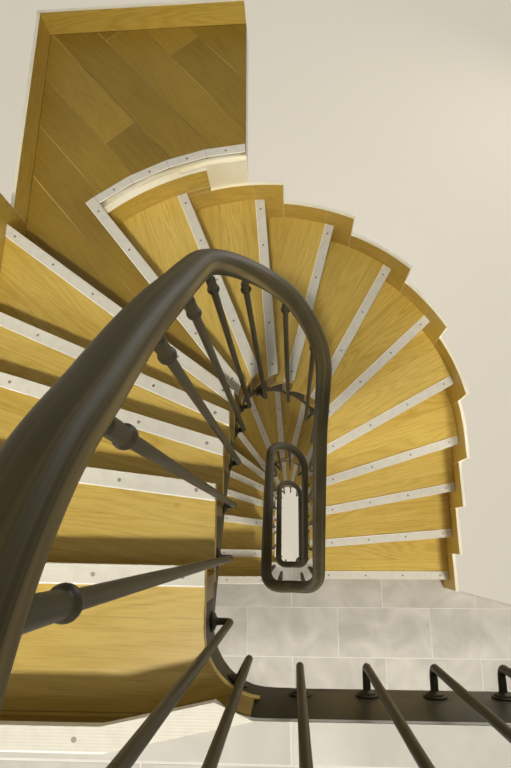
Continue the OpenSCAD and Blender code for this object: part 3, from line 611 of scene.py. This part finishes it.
def cream_count(made):
    return sum(p.material_index for p in made.data.polygons)

for k in storeys:
    boards = [cream_edges(measured_board(piece, 0.0012)) for piece in solids(f"skirtings_{k}")]
    made = assemble(f"oak_skirting_{k}", boards, [board_oak, cream_paint], f"skirtings_{k}")
    print(made.name, len(boards), "boards", cream_count(made), "cream faces")

# %% [markdown]
# ## The curved board under the landing's edge
# The skirting goes on round the curve below the half landing: one more oak board stands on the last
# tread, a little way in front of the curved riser, and its cream top makes a ledge under the strip.
# It could be bent with a modifier, but its outline lies on two circles round the same centre, so a
# plan of points on those circles, given its height, makes it exactly. A second, lower piece is the
# board's toe, which steps down over the tread before. A third, the heel, fills the chink behind the
# nosing between two boards.

# %% Curved landing board
curve_y, curve_radius, riser_skin, segment = 0.9, 1.155, 0.0004, 0.04
curve_middle = Vector((-0.266, curve_y, 0))
board_start, nosing_at, board_end, ledge_deep = 2.95, 3.079, 3.504, 0.0455
toe_end, heel_start, heel_end = 3.0762, 3.0777, 3.103
board_foot, board_top, toe_foot, toe_top, heel_foot, heel_top = 1.6203, 1.745, 1.5835, 1.6199, 1.43, 1.5876

def on_curve(run, outwards, z):
    a = (run - curve_y) / curve_radius
    return curve_middle + Vector((math.cos(a), math.sin(a), 0)) * (curve_radius + outwards) + z_way * z

def evenly(a, b, n):
    return [a + (b - a) * i / n for i in range(n + 1)]

def curved_board(front, back, low, high):
    parts = max(1, round((front[1] - front[0]) / segment))
    ring = [on_curve(u, riser_skin, high) for u in evenly(*front, parts)]
    ring += [on_curve(u, out, high) for a, b, out in back for u in evenly(a, b, 8)]
    piece = slab_of(ring[::-1], high - low, 0.001)
    piece.normal_update()
    return cream_edges(measure(piece, Vector(middle(piece)), long_way(piece), z_way, chance.random()))

for k in storeys:
    base = (k - 1) * storey_height
    steps_back = [(board_end, nosing_at, ledge_deep), (nosing_at, board_start, board_thick)]
    board = curved_board((board_start, board_end), steps_back, base + board_foot, base + board_top)
    toe_back, heel_back = [(toe_end, board_start, board_thick)], [(heel_end, heel_start, board_thick)]
    toe = curved_board((board_start, toe_end), toe_back, base + toe_foot, base + toe_top)
    heel = curved_board((heel_start, heel_end), heel_back, base + heel_foot, base + heel_top)
    for face in heel.faces:
        face.material_index = 0
    finishes = [board_oak, cream_paint]
    made = assemble(f"landing_skirting_{k}", [board, toe, heel], finishes)
    print(made.name, len(made.data.polygons), "faces,", cream_count(made), "cream")

# %% [markdown]
# ## Nosing strips and their screws
# A pale ribbed strip protects every nosing, held by small countersunk screws. The strips are eased
# copies of their solids. The screws repeat along a line, which is work for Geometry Nodes: a mesh
# edge along the middle of each strip becomes a curve, the curve is divided at the screw spacing,
# and a head with its slot is set on each point, turned by a random angle from a fixed seed.

# %% Helpers: a Geometry Nodes tree and its result as a plain mesh
def geo(tree, kind, feeds=(), **marks):
    return put(tree, "GeometryNode" + kind, feeds, **marks)

def new_tree(name, **sizes):
    tree = bpy.data.node_groups.new(name, "GeometryNodeTree")
    tree.interface.new_socket("Geometry", in_out="INPUT", socket_type="NodeSocketGeometry")
    for label, value in sizes.items():
        kind = {int: "NodeSocketInt", float: "NodeSocketFloat"}.get(type(value), "NodeSocketObject")
        socket = tree.interface.new_socket(label.replace("_", " "), in_out="INPUT", socket_type=kind)
        if value is not None:
            socket.default_value = value
    tree.interface.new_socket("Geometry", in_out="OUTPUT", socket_type="NodeSocketGeometry")
    return tree, put(tree, "NodeGroupInput").outputs

def joined(tree, *shapes):
    both = geo(tree, "JoinGeometry")
    for shape in shapes:
        tree.links.new(shape.outputs[0], both.inputs[0])
    return both

def close_tree(tree, geometry, finish):
    real = geo(tree, "RealizeInstances", {0: geometry})
    dressed = geo(tree, "SetMaterial", {"Geometry": real.outputs[0], "Material": finish})
    put(tree, "NodeGroupOutput", {0: dressed.outputs[0]})
    print("tree", tree.name, len(tree.nodes), "nodes")
    return tree

def grown(name, mesh, tree, **values):
    host = new_object(name + "_lines", mesh)
    step = host.modifiers.new("grow", "NODES")
    step.node_group = tree
    for socket in tree.interface.items_tree:
        label = socket.name.replace(" ", "_")
        if socket.in_out == "INPUT" and label in values:
            step[socket.identifier] = values[label]
    result = bpy.data.meshes.new_from_object(host.evaluated_get(bpy.context.evaluated_depsgraph_get()))
    bpy.data.objects.remove(host)
    result.name = name
    return result
print("tree helpers ready")

# %% Helpers: lines for a tree to grow on
def line_mesh(name, lines, girths=None):
    spots, edges, widths = [], [], []
    for n, line in enumerate(lines):
        edges += [(len(spots) + i, len(spots) + i + 1) for i in range(len(line) - 1)]
        spots += [tuple(p) for p in line]
        widths += girths[n] if girths else [1.0] * len(line)
    mesh = bpy.data.meshes.new(name)
    mesh.from_pydata(spots, edges, [])
    mesh.attributes.new("girth", "FLOAT", "POINT").data.foreach_set("value", widths)
    return mesh
print("line helper ready")

# %% The tree of the screws
slot_wide, slot_deep, half_turn = 0.0007, 0.0002, 3.14
tree, given = new_tree("screw_row", Spacing=0.21, Head_width=0.0115, Head_height=0.0007, Seed=5)
line = geo(tree, "MeshToCurve", {0: given["Geometry"]})
spots = geo(tree, "ResampleCurve", {0: line.outputs[0], "Length": given["Spacing"]}, mode="LENGTH")
half_width, head_height = times(tree, given["Head width"], 0.5), given["Head height"]
head = geo(tree, "MeshCone", {"Vertices": 12, "Radius Bottom": half_width, "Depth": head_height,
                              "Radius Top": times(tree, half_width, 0.8)})
slot_size = from_axes(tree, times(tree, half_width, 1.2), slot_wide, slot_deep)
slot_bar = geo(tree, "MeshCube", {0: slot_size})
raised_bar = geo(tree, "Transform", {0: slot_bar.outputs[0], 1: from_axes(tree, z=head_height)})
screw = joined(tree, raised_bar, head)
spin = put(tree, "FunctionNodeRandomValue", {"Max": (0, 0, half_turn), "Seed": given["Seed"]},
           data_type="FLOAT_VECTOR")
heads = geo(tree, "InstanceOnPoints", {0: spots.outputs[0], 2: screw.outputs[0],
                                       "Rotation": spin.outputs[0]})
screw_row = close_tree(tree, heads.outputs[0], screw_metal)

# %% Strips and screws
short_strip, end_distance = 0.35, 0.055

def screw_line(piece):
    (near, far), (back_far, back_near) = front_and_back(piece)
    start, end = (near + back_near) / 2, (far + back_far) / 2
    if (end - start).length < short_strip:
        spot = (start + end) / 2
        return [spot - unit(end - start) * 0.001, spot]
    inset = unit(end - start) * end_distance
    return [start + inset, end - inset]

for k in storeys:
    strips = solids(f"nosing_strips_{k}")
    lines = [screw_line(piece) for piece in strips]
    strips = [measured_step(piece, 0.0008) for piece in strips]
    made = assemble(f"nosing_strips_pale_{k}", strips, strip_metal, f"nosing_strips_{k}")
    mesh = grown(f"strip_screws_{k}", line_mesh("strip_lines", lines), screw_row, Seed=k)
    place_object(f"strip_screws_{k}", mesh, screw_metal, soft=0)
    print(made.name, len(strips), "strips,", len(mesh.polygons), "faces of screws")

# %% [markdown]
# ## Boards of the half landings
# The half landing has a floor of wide oak boards that run slantwise to its sides, with an end joint
# here and there. The boards could be drawn as lines in a shader, but real gaps and eased edges catch
# light. So the top face of the solid is sawn with pairs of planes, one pair for each board, and every
# piece that is left is given its thickness again. The floor's curved front edge is painted cream, and
# a thin dark strip laid along the foot of its skirting is a painted shadow.

# %% Helpers: sawing a floor
same_level = 0.0003

def top_faces(node, height):
    made = whole_mesh(node)
    unwanted = [f for f in made.faces
                if f.normal.z < 0.99 or abs(f.calc_center_median().z - height) > same_level]
    bmesh.ops.delete(made, geom=unwanted, context="FACES")
    bmesh.ops.triangulate(made, faces=made.faces[:])
    return made

def between(way, low, high):
    return [(way * low, -way), (way * high, way)]

def sawn(sheet, planes):
    cut = sheet.copy()
    for spot, normal in planes:
        bmesh.ops.bisect_plane(cut, geom=cut.verts[:] + cut.edges[:] + cut.faces[:], dist=0.00001,
                               plane_co=spot, plane_no=normal, clear_outer=True)
    bmesh.ops.dissolve_limit(cut, angle_limit=0.01, verts=cut.verts[:], edges=cut.edges[:])
    rings = [[v.co.copy() for v in f.verts] for f in cut.faces if f.calc_area() > 0.0002]
    cut.free()
    return rings

def lowered(node, height, depth):
    bed = whole_mesh(node)
    for v in bed.verts:
        if abs(v.co.z - height) < same_level:
            v.co.z -= depth
    return bed
print("saw ready")

# %% Helpers: boards of one landing
board_width, board_gap, board_deep, first_board = 0.186, 0.003, 0.012, 0.249
shown_board, shown_joint, joint_from, joint_range, beyond = 2, -2.318, -4.6, 3.4, 9.0
slant = math.radians(-50.4)
run = Vector((math.cos(slant), math.sin(slant), 0))
over = Vector((-run.y, run.x, 0))

def landing_boards(k):
    height = (k - 1) * storey_height + half_landing_rise
    sheet, boards = top_faces(f"half_floor_{k}", height), []
    for n in range(-6, 14):
        low = first_board + n * board_width + board_gap / 2
        high = first_board + (n + 1) * board_width - board_gap / 2
        joint = shown_joint if n == shown_board else joint_from + chance.random() * joint_range
        joints = [-beyond, joint, beyond]
        for start, end in zip(joints, joints[1:]):
            planes = between(over, low, high) + between(run, start + board_gap / 2, end - board_gap / 2)
            for ring in sawn(sheet, planes):
                board, corner = slab_of(ring, board_deep, 0.0009), run * start + over * low
                boards.append(measure(board, corner, run, over, chance.random()))
    sheet.free()
    return boards
print("boards run at", round(math.degrees(slant), 1), "degrees")

# %% Landing boards
landing_edge, left_side, back_side, right_end, shadow_line_wide = 1.192, -1.345, 2.88, -0.312, 0.0024
oak_index, filler_index, cream_index = 0, 1, 2

def cream_front(piece):
    piece.normal_update()
    for face in piece.faces:
        away = (level(face.calc_center_median()) - curve_middle).length
        if abs(face.normal.z) < 0.5 and abs(away - landing_edge) < 0.003:
            face.material_index = cream_index

# Thin dark strips on the boards along the foot of the skirting: a painted shadow.
def painted_shadow_lines(height):
    inner, near_back = left_side + shadow_line_wide, back_side - shadow_line_wide
    left = [(left_side, 1.76), (inner, 1.76), (inner, back_side), (left_side, back_side)]
    back = [(inner, near_back), (right_end, near_back), (right_end, back_side), (inner, back_side)]
    rings = [[Vector((x, y, height + 0.0004)) for x, y in ring] for ring in (left, back)]
    return [slab_of(ring, 0.0008, 0.0001) for ring in rings]

for k in storeys:
    height = (k - 1) * storey_height + half_landing_rise
    boards = landing_boards(k)
    count = len(boards)
    bed = measure(lowered(f"half_floor_{k}", height, 0.0004), z_way * height, run, over, 0.2)
    for face in bed.faces:
        face.material_index = filler_index if face.normal.z > 0.5 else oak_index
    boards.append(bed)
    for piece in boards:
        cream_front(piece)
    finishes = [landing_oak_painted_shade, joint_filler, cream_paint]
    made = assemble(f"landing_boards_{k}", boards, finishes, f"half_floor_{k}")
    # The painted shadow along the skirting's foot.
    more = assemble(f"floor_edge_joint_{k}", painted_shadow_lines(height), joint_shadow, soft=0)
    print(made.name, count, "boards;", more.name)

# %% [markdown]
# ## Stone tiles of the landings
# The landings are laid with stone tiles of 600 by 300 mm in a running bond, with a low tiled skirting
# along the outer sides. The same saw cuts them out of the landing's top face, 4 mm apart. The landing's
# own solid, let down by half a millimetre, stays below them as the bed of grout.

# %% Tiles
tile_long, tile_wide, tile_gap, tile_corner = 0.606, 0.305, 0.004, (0.478, -0.12)

def landing_tiles(k):
    height = k * storey_height
    sheet, tiles = top_faces(f"tiles_{k}", height), []
    for row in range(-5, 3):
        low = tile_corner[1] + row * tile_wide + tile_gap / 2
        high = tile_corner[1] + (row + 1) * tile_wide - tile_gap / 2
        for n in range(-5, 5):
            left = tile_corner[0] + n * tile_long + (tile_long / 2 if row % 2 else 0) + tile_gap / 2
            right = left + tile_long - tile_gap
            for ring in sawn(sheet, between(y_way, low, high) + between(x_way, left, right)):
                corner = Vector((left, low, height))
                tiles.append(measure(slab_of(ring, 0.004, 0.0008), corner, x_way, y_way, chance.random()))
    sheet.free()
    return tiles

for k in storeys:
    height = k * storey_height
    made = assemble(f"stone_tiles_{k}", landing_tiles(k), stone_tile)
    bed = measure(ease(lowered(f"tiles_{k}", height, 0.0005), 0.0008), Vector(), x_way, y_way, 0.5)
    for face in bed.faces:
        face.material_index = int(face.calc_center_median().z > height + 0.001)
    more = assemble(f"tile_bed_{k}", [bed], [grout, stone_tile], f"tiles_{k}")
    print(made.name, len(made.data.polygons), "faces;", more.name)

# %% [markdown]
# ## Strings, slabs and soffit
# The cut string is a steel plate bent round the well, and its shadowed curve is the line that the eye
# follows down. Its solid is skinned over many narrow faces, so smooth shading with sharp edges kept
# makes it one bent plate, and a narrow bevel gives its rim a line of light. The slabs are treated
# alike. The plastered soffit twists as it climbs, and long twisted triangles would shade in stripes,
# so its faces are joined and divided again into short ones.

# %% Strings, soffit, slabs
def eased_copy(name, node, finish, width):
    pieces = [ease(piece, width, 2, 50) for piece in solids(node)]
    return assemble(name, pieces, finish, node, 30, "CORNER_ANGLE")

def finer(piece, longest=0.35, cuts=7):
    bmesh.ops.join_triangles(piece, faces=piece.faces[:], angle_face_threshold=0.7,
                             angle_shape_threshold=3.1)
    wide = [e for e in piece.edges if e.calc_length() > longest]
    bmesh.ops.subdivide_edges(piece, edges=wide, cuts=cuts, use_grid_fill=True)
    return piece

for k in storeys:
    plate = eased_copy(f"cut_string_{k}", f"well_string_{k}", string_paint, 0.0012)
    outer = eased_copy(f"wall_carriage_{k}", f"wall_strings_{k}", string_paint, 0.0012)
    pieces = [finer(piece) for piece in solids(f"soffit_{k}", 0)]
    under = assemble(f"plaster_soffit_{k}", pieces, plaster, f"soffit_{k}", 50, None)
    floors = eased_copy(f"landing_slabs_{k}", f"slabs_{k}", slab_plaster, 0.004)
    print(plate.name, len(plate.data.polygons), outer.name, under.name, floors.name)

# %% [markdown]
# ## Handrail
# The handrail is a moulded section that follows one smooth line over all turns. Its solid marks that
# line with rings of twelve corners, too few for a rail that fills half the picture. So the rings'
# middles are read back, a smooth curve is laid through them, and Geometry Nodes sweep a finer
# section along it. The curve's normals are kept level, as a joiner keeps a rail's top level. Where
# the rails of two storeys meet, their ends are eased into each other, so the joint shows no step.

# %% Helpers: the middle line of a rail's solid
def ring_middles(node, corners, widest):
    made, flat = whole_mesh(node, 0), whole_mesh(node, 0.05)
    ends = [f for f in flat.faces if len(f.verts) == corners
            and max((a.co - b.co).length for a in f.verts for b in f.verts) < widest]
    lowest = min(ends, key=lambda f: f.calc_center_median().z)
    layer = [min(made.verts, key=lambda v: (v.co - c.co).length) for c in lowest.verts]
    seen, middles = set(layer), []
    while layer:
        middles.append(sum((v.co for v in layer), Vector()) / len(layer))
        after = []
        for other in (edge.other_vert(v) for v in layer for edge in v.link_edges):
            if other not in seen:
                seen.add(other)
                after.append(other)
        layer = after
    made.free()
    flat.free()
    return middles

def smooth_line(spots, step):
    spans = [(b - a).length for a, b in zip(spots, spots[1:])]
    slopes = [(spots[1] - spots[0]) / spans[0]]
    for i in range(1, len(spots) - 1):
        before, after = (spots[i] - spots[i - 1]) / spans[i - 1], (spots[i + 1] - spots[i]) / spans[i]
        slopes.append((before * spans[i] + after * spans[i - 1]) / (spans[i - 1] + spans[i]))
    slopes.append((spots[-1] - spots[-2]) / spans[-1])
    line = [spots[0]]
    for i, span in enumerate(spans):
        parts = max(1, math.ceil(span / step))
        for j in range(1, parts + 1):
            t = j / parts
            line.append(spots[i] * (2 * t ** 3 - 3 * t ** 2 + 1)
                        + slopes[i] * span * (t ** 3 - 2 * t ** 2 + t)
                        + spots[i + 1] * (3 * t ** 2 - 2 * t ** 3)
                        + slopes[i + 1] * span * (t ** 3 - t ** 2))
    return line
print("first rail read in", len(ring_middles("handrail_1", 12, 0.075)), "rings")

# %% Helpers: eased joints, level axes, the rail's own coordinates
def fading(p, q, over):
    t = min(1, (p - q).length / over)
    return 1 - t * t * (3 - 2 * t)

def eased_ends(line, k, half_step=0.0176, over=0.15):
    line = line if line[0].z < line[-1].z else line[::-1]
    start, end = line[0].copy(), line[-1].copy()
    for p in line:
        up_to_next = half_step * fading(p, end, over) if k < 3 else 0
        down_to_last = half_step * fading(p, start, over) if k > 1 else 0
        p.z += up_to_next - down_to_last
    return line

def rail_axes(line, i):
    d = unit(line[min(i + 1, len(line) - 1)] - line[max(i - 1, 0)])
    side = unit(Vector((d.y, -d.x, 0)))
    return side, unit(side.cross(d))

def mark_round(mesh, count, wide, high):
    rows = [[v.co.copy() for v in mesh.vertices[i:i + count]] for i in range(0, len(mesh.vertices), count)]
    centres = [sum(row, Vector()) / len(row) for row in rows]
    marks, way, spot = mesh.attributes.new("round_rail", "FLOAT_VECTOR", "POINT"), 0.0, 0
    for i, row in enumerate(rows):
        way += (centres[i] - centres[i - 1]).length if i else 0
        side, above = rail_axes(centres, i)
        for p in row:
            away = p - centres[i]
            marks.data[spot].vector = (away.dot(side) / wide, away.dot(above) / high, way)
            spot += 1
print("rail helpers ready")

# %% The tree of a swept rail
tree, given = new_tree("swept_section", Section=None)
line = geo(tree, "MeshToCurve", {0: given["Geometry"]})
kept_level = geo(tree, "SetCurveNormal", {0: line.outputs[0]}, mode="Z_UP")
outline = geo(tree, "ObjectInfo", {"Object": given["Section"]})
section = geo(tree, "MeshToCurve", {0: outline.outputs["Geometry"]})
swept = geo(tree, "CurveToMesh", {0: kept_level.outputs[0], 1: section.outputs[0], "Fill Caps": True})
swept_section = close_tree(tree, swept.outputs[0], rail_paint)

# %% Helpers: the outline to sweep
def section_object(name, outline):
    turned_down = [(x, -y, 0) for x, y in reversed(outline)]
    count = len(outline)
    mesh = bpy.data.meshes.new(name)
    mesh.from_pydata(turned_down, [(i, (i + 1) % count) for i in range(count)], [])
    return new_object(name, mesh)

def corner_cut(points, share=0.25):
    cut = []
    for i, (px, py) in enumerate(points):
        qx, qy = points[(i + 1) % len(points)]
        cut += [(px + (qx - px) * part, py + (qy - py) * part) for part in (share, 1 - share)]
    return cut

rail_wide, rail_high = 0.057, 0.050
right_half = [(0.23, -0.50), (0.30, -0.48), (0.44, -0.40), (0.50, -0.24),
              (0.50, 0.08), (0.47, 0.24), (0.38, 0.39), (0.17, 0.50)]
left_half = [(-x, y) for x, y in reversed(right_half)]
rail_shape = [left_half[-2], left_half[-1]] + right_half + left_half[:-2]
rail_outline = [(x * rail_wide, y * rail_high) for x, y in corner_cut(rail_shape)]
bar_outline = corner_cut([(-0.015, -0.004), (0.015, -0.004), (0.015, 0.004), (-0.015, 0.004)], 0.04)
rail_form = section_object("rail_section", rail_outline)
bar_form = section_object("bar_section", bar_outline)
print("rail section", len(rail_outline), "corners")

# %% Handrail and the flat bar under it
rail_lift, bar_lines = 0.0010, {}
for k in storeys:
    rings = ring_middles(f"handrail_{k}", 12, 0.075)
    line = eased_ends(smooth_line(rings, 0.014), k)
    line = [p + rail_axes(line, i)[1] * rail_lift for i, p in enumerate(line)]
    mesh = grown(f"moulded_handrail_{k}", line_mesh("rail_line", [line]), swept_section, Section=rail_form)
    mark_round(mesh, len(rail_outline), rail_wide, rail_high)
    rail = place_object(f"moulded_handrail_{k}", mesh, rail_paint, f"handrail_{k}", soft=50)
    bar_lines[k] = line = eased_ends(smooth_line(ring_middles(f"rail_bar_{k}", 4, 0.034), 0.02), k)
    mesh = grown(f"flat_rail_bar_{k}", line_mesh("bar_line", [line]), swept_section, Section=bar_form)
    place_object(f"flat_rail_bar_{k}", mesh, rail_paint, f"rail_bar_{k}", soft=50)
    print(rail.name, len(rings), "rings read,", len(rail.data.polygons), "faces")
for form in (rail_form, bar_form):
    bpy.data.objects.remove(form)

# %% [markdown]
# ## Balusters
# Each baluster is one bent iron rod. It leaves a stepped rosette on the string, turns upwards in a
# tight elbow, swells into a knuckle under the rail and ends in a pin in the flat bar. A lathe can't
# turn a bent rod, but a curve can: the rod's middle line gets a girth at every point, and Geometry
# Nodes sweep a circle scaled by that girth. Rosette, elbow and knuckle are then one clean surface.
# The bar slopes, so the height of each pin is read from the bar's own line over its rod.

# %% The tree of a turned rod
tree, given = new_tree("turned_rod", Sides=20)
line = geo(tree, "MeshToCurve", {0: given["Geometry"]})
circle = geo(tree, "CurvePrimitiveCircle", {"Resolution": given["Sides"], "Radius": 1.0})
girth = geo(tree, "InputNamedAttribute", {"Name": "girth"}, data_type="FLOAT")
rod = geo(tree, "CurveToMesh", {0: line.outputs[0], 1: circle.outputs[0], "Scale": girth.outputs[0],
                                "Fill Caps": True})
turned_rod = close_tree(tree, rod.outputs[0], iron_paint)

# %% Helpers: where a baluster stands and how high the bar is
collar_radius = 0.019

def baluster_marks(piece):
    spots = [v.co for v in piece.verts]
    top = max(p.z for p in spots)
    tip = [p for p in spots if p.z > top - 0.0001]
    axis = Vector((sum(p.x for p in tip) / len(tip), sum(p.y for p in tip) / len(tip), 0))
    flat = [Vector((p.x, p.y, 0)) - axis for p in spots]
    farthest = max(d.length for d in flat)
    arm = unit(sum((d for d in flat if d.length > farthest * 0.85), Vector()))
    reach = max(d.dot(arm) for d in flat)
    plate = [p.z for p, d in zip(spots, flat) if d.dot(arm) > reach - 0.0002]
    collar = [p.z for p, d in zip(spots, flat)
              if abs(d.length - collar_radius) < 0.0002 and p.z > top - 0.3]
    return axis, arm, reach, (max(plate) + min(plate)) / 2, (min(collar) + max(collar)) / 2

def bar_over(axis, bar):
    nearest, height, slope = 9.0, 0.0, 0.0
    for p, q in zip(bar, bar[1:]):
        way = level(q - p)
        t = max(0.0, min(1.0, (axis - level(p)).dot(way) / max(way.length_squared, 1e-9)))
        away = (level(p) + way * t - axis).length
        if away < nearest - 1e-6:
            nearest, height, slope = away, p.z + (q.z - p.z) * t, abs(q.z - p.z) / max(way.length, 1e-6)
    return height, slope
print("baluster helpers ready")

# %% Helpers: line and girth of one baluster
def in_metres(profile):
    return [(a / 1000, b / 1000) for a, b in profile]

rosette = in_metres([(0, 27), (0.6, 28), (3, 28), (4, 26.8), (4.6, 22.2), (7, 21.6), (8.2, 20.6),
                     (9, 16), (10.8, 14), (12.5, 10.8), (14.5, 9.5)])
knuckle = in_metres([(-18, 9.4), (-12.5, 9.6), (-12, 11.4), (-10.4, 12.2), (-9, 11.4), (-8.4, 10.6),
                     (-6.8, 11.8), (-5.2, 14), (-2.6, 15.3), (0, 15.7), (2.6, 15.3), (5.2, 14),
                     (6.8, 12.2), (9, 11.2), (15, 11.3), (30, 11.9)])
barrel_end = in_metres([(-4, 12.1), (-1, 11.4), (0, 9.8), (3, 7.8)])
elbow_radius, rod_radius, pin_radius, half_bar = 0.024, 0.0094, 0.0068, 0.004

def baluster_line(marks, bar):
    axis, arm, reach, foot, collar = marks
    top, slope = bar_over(axis, bar)
    shoulder = top - half_bar * math.hypot(1, slope) - 0.0115 * slope - 0.003
    stops = [(reach - d, foot, r) for d, r in rosette]
    for i in range(9):
        a = math.pi / 2 * i / 8
        stops.append((elbow_radius - elbow_radius * math.sin(a),
                      foot + elbow_radius - elbow_radius * math.cos(a), rod_radius))
    stops += [(0, collar + d, r) for d, r in knuckle] + [(0, shoulder + d, r) for d, r in barrel_end]
    stops.append((0, top - 0.001, pin_radius))
    return [axis + arm * out + z_way * z for out, z, r in stops], [r for out, z, r in stops]
print("stops on a rod", len(rosette) + 9 + len(knuckle) + len(barrel_end) + 1)

# %% Balusters
for k in storeys:
    marks = [baluster_marks(piece) for piece in solids(f"balusters_{k}", 0)]
    rods = [baluster_line(m, bar_lines[k]) for m in marks]
    lines = line_mesh("rod_lines", [line for line, girths in rods], [girths for line, girths in rods])
    mesh = grown(f"bent_balusters_{k}", lines, turned_rod)
    node = f"balusters_{k}"
    made = place_object(f"bent_balusters_{k}", mesh, iron_paint, node, soft=38)
    print(made.name, len(marks), "balusters", len(mesh.polygons), "faces")

# %% [markdown]
# ## Newel
# At the foot of the stair a round post takes the end of the rail. It stands on a flange with four
# bolts and is turned with a base, two rings and a ball on top. The turned rod's tree makes it as
# well, on one upright line with its own girths, and the bolts are a second use of instancing.

# %% Newel post
newel_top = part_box("newel")[1].z
neck, ball = newel_top - 0.03, 0.030
profile = in_metres([(0, 64), (1, 65), (10.5, 65), (12, 63.5), (12.2, 42), (18, 41.5), (23, 38),
                     (26, 33.5), (30, 31), (36, 30), (150, 30), (152, 31.8), (156, 33.2), (164, 33.2),
                     (168, 31.8), (170, 30), (1000, 30)])
profile += [(neck + z, r) for z, r in in_metres([(-60, 30), (-58, 31.8), (-54, 33), (-46, 33), (-42, 31.8),
                                                 (-40, 30), (-24, 29.2), (-20, 26)])]
for i in range(2, 19):
    a = math.pi * i / 19
    z = neck - ball * math.cos(a) if a > 0.6 else neck - 0.018
    profile.append((z, max(0.0250 if a < 1 else 0, ball * math.sin(a))))
profile = [p for i, p in enumerate(profile) if i == 0 or p[0] > profile[i - 1][0] + 0.00005]
lines = line_mesh("newel_line", [[z_way * z for z, r in profile]], [[r for z, r in profile]])
mesh = grown("turned_newel", lines, turned_rod, Sides=48)
newel = place_object("turned_newel", mesh, rail_paint, "newel", soft=38)
print(newel.name, len(mesh.polygons), "faces, top at", round(newel_top, 3))

# %% Bolts on the newel's flange
flange_top, bolt_out, washer_high, nut_high = 0.0128, 0.034, 0.0016, 0.0075
tree, given = new_tree("bolt_ring", Across_flats=0.016)
flats = given["Across flats"]
washer_out, nut_out = times(tree, flats, 0.68), times(tree, flats, 0.577)
washer = geo(tree, "MeshCylinder", {"Vertices": 24, "Radius": washer_out, "Depth": washer_high})
nut = geo(tree, "MeshCylinder", {"Vertices": 6, "Radius": nut_out, "Depth": nut_high})
raised = geo(tree, "Transform", {0: nut.outputs[0], 1: (0, 0, 0.0045)})
bolt = joined(tree, raised, washer)
bolts = geo(tree, "InstanceOnPoints", {0: given["Geometry"], 2: bolt.outputs[0]})
bolt_ring = close_tree(tree, bolts.outputs[0], screw_metal)
corners = bpy.data.meshes.new("bolt_places")
corners.from_pydata([(bolt_out * a, bolt_out * b, flange_top) for a in (-1, 1) for b in (-1, 1)], [], [])
mesh = grown("newel_bolts", corners, bolt_ring)
place_object("newel_bolts", mesh, screw_metal, soft=0)
print("newel_bolts", len(mesh.polygons), "faces")

# %% [markdown]
# Last, the scene's view transform is set to Standard. The dressed stair has to stay inside the imported
# model's box.

# %% Finish
bpy.context.scene.view_settings.view_transform = "Standard"
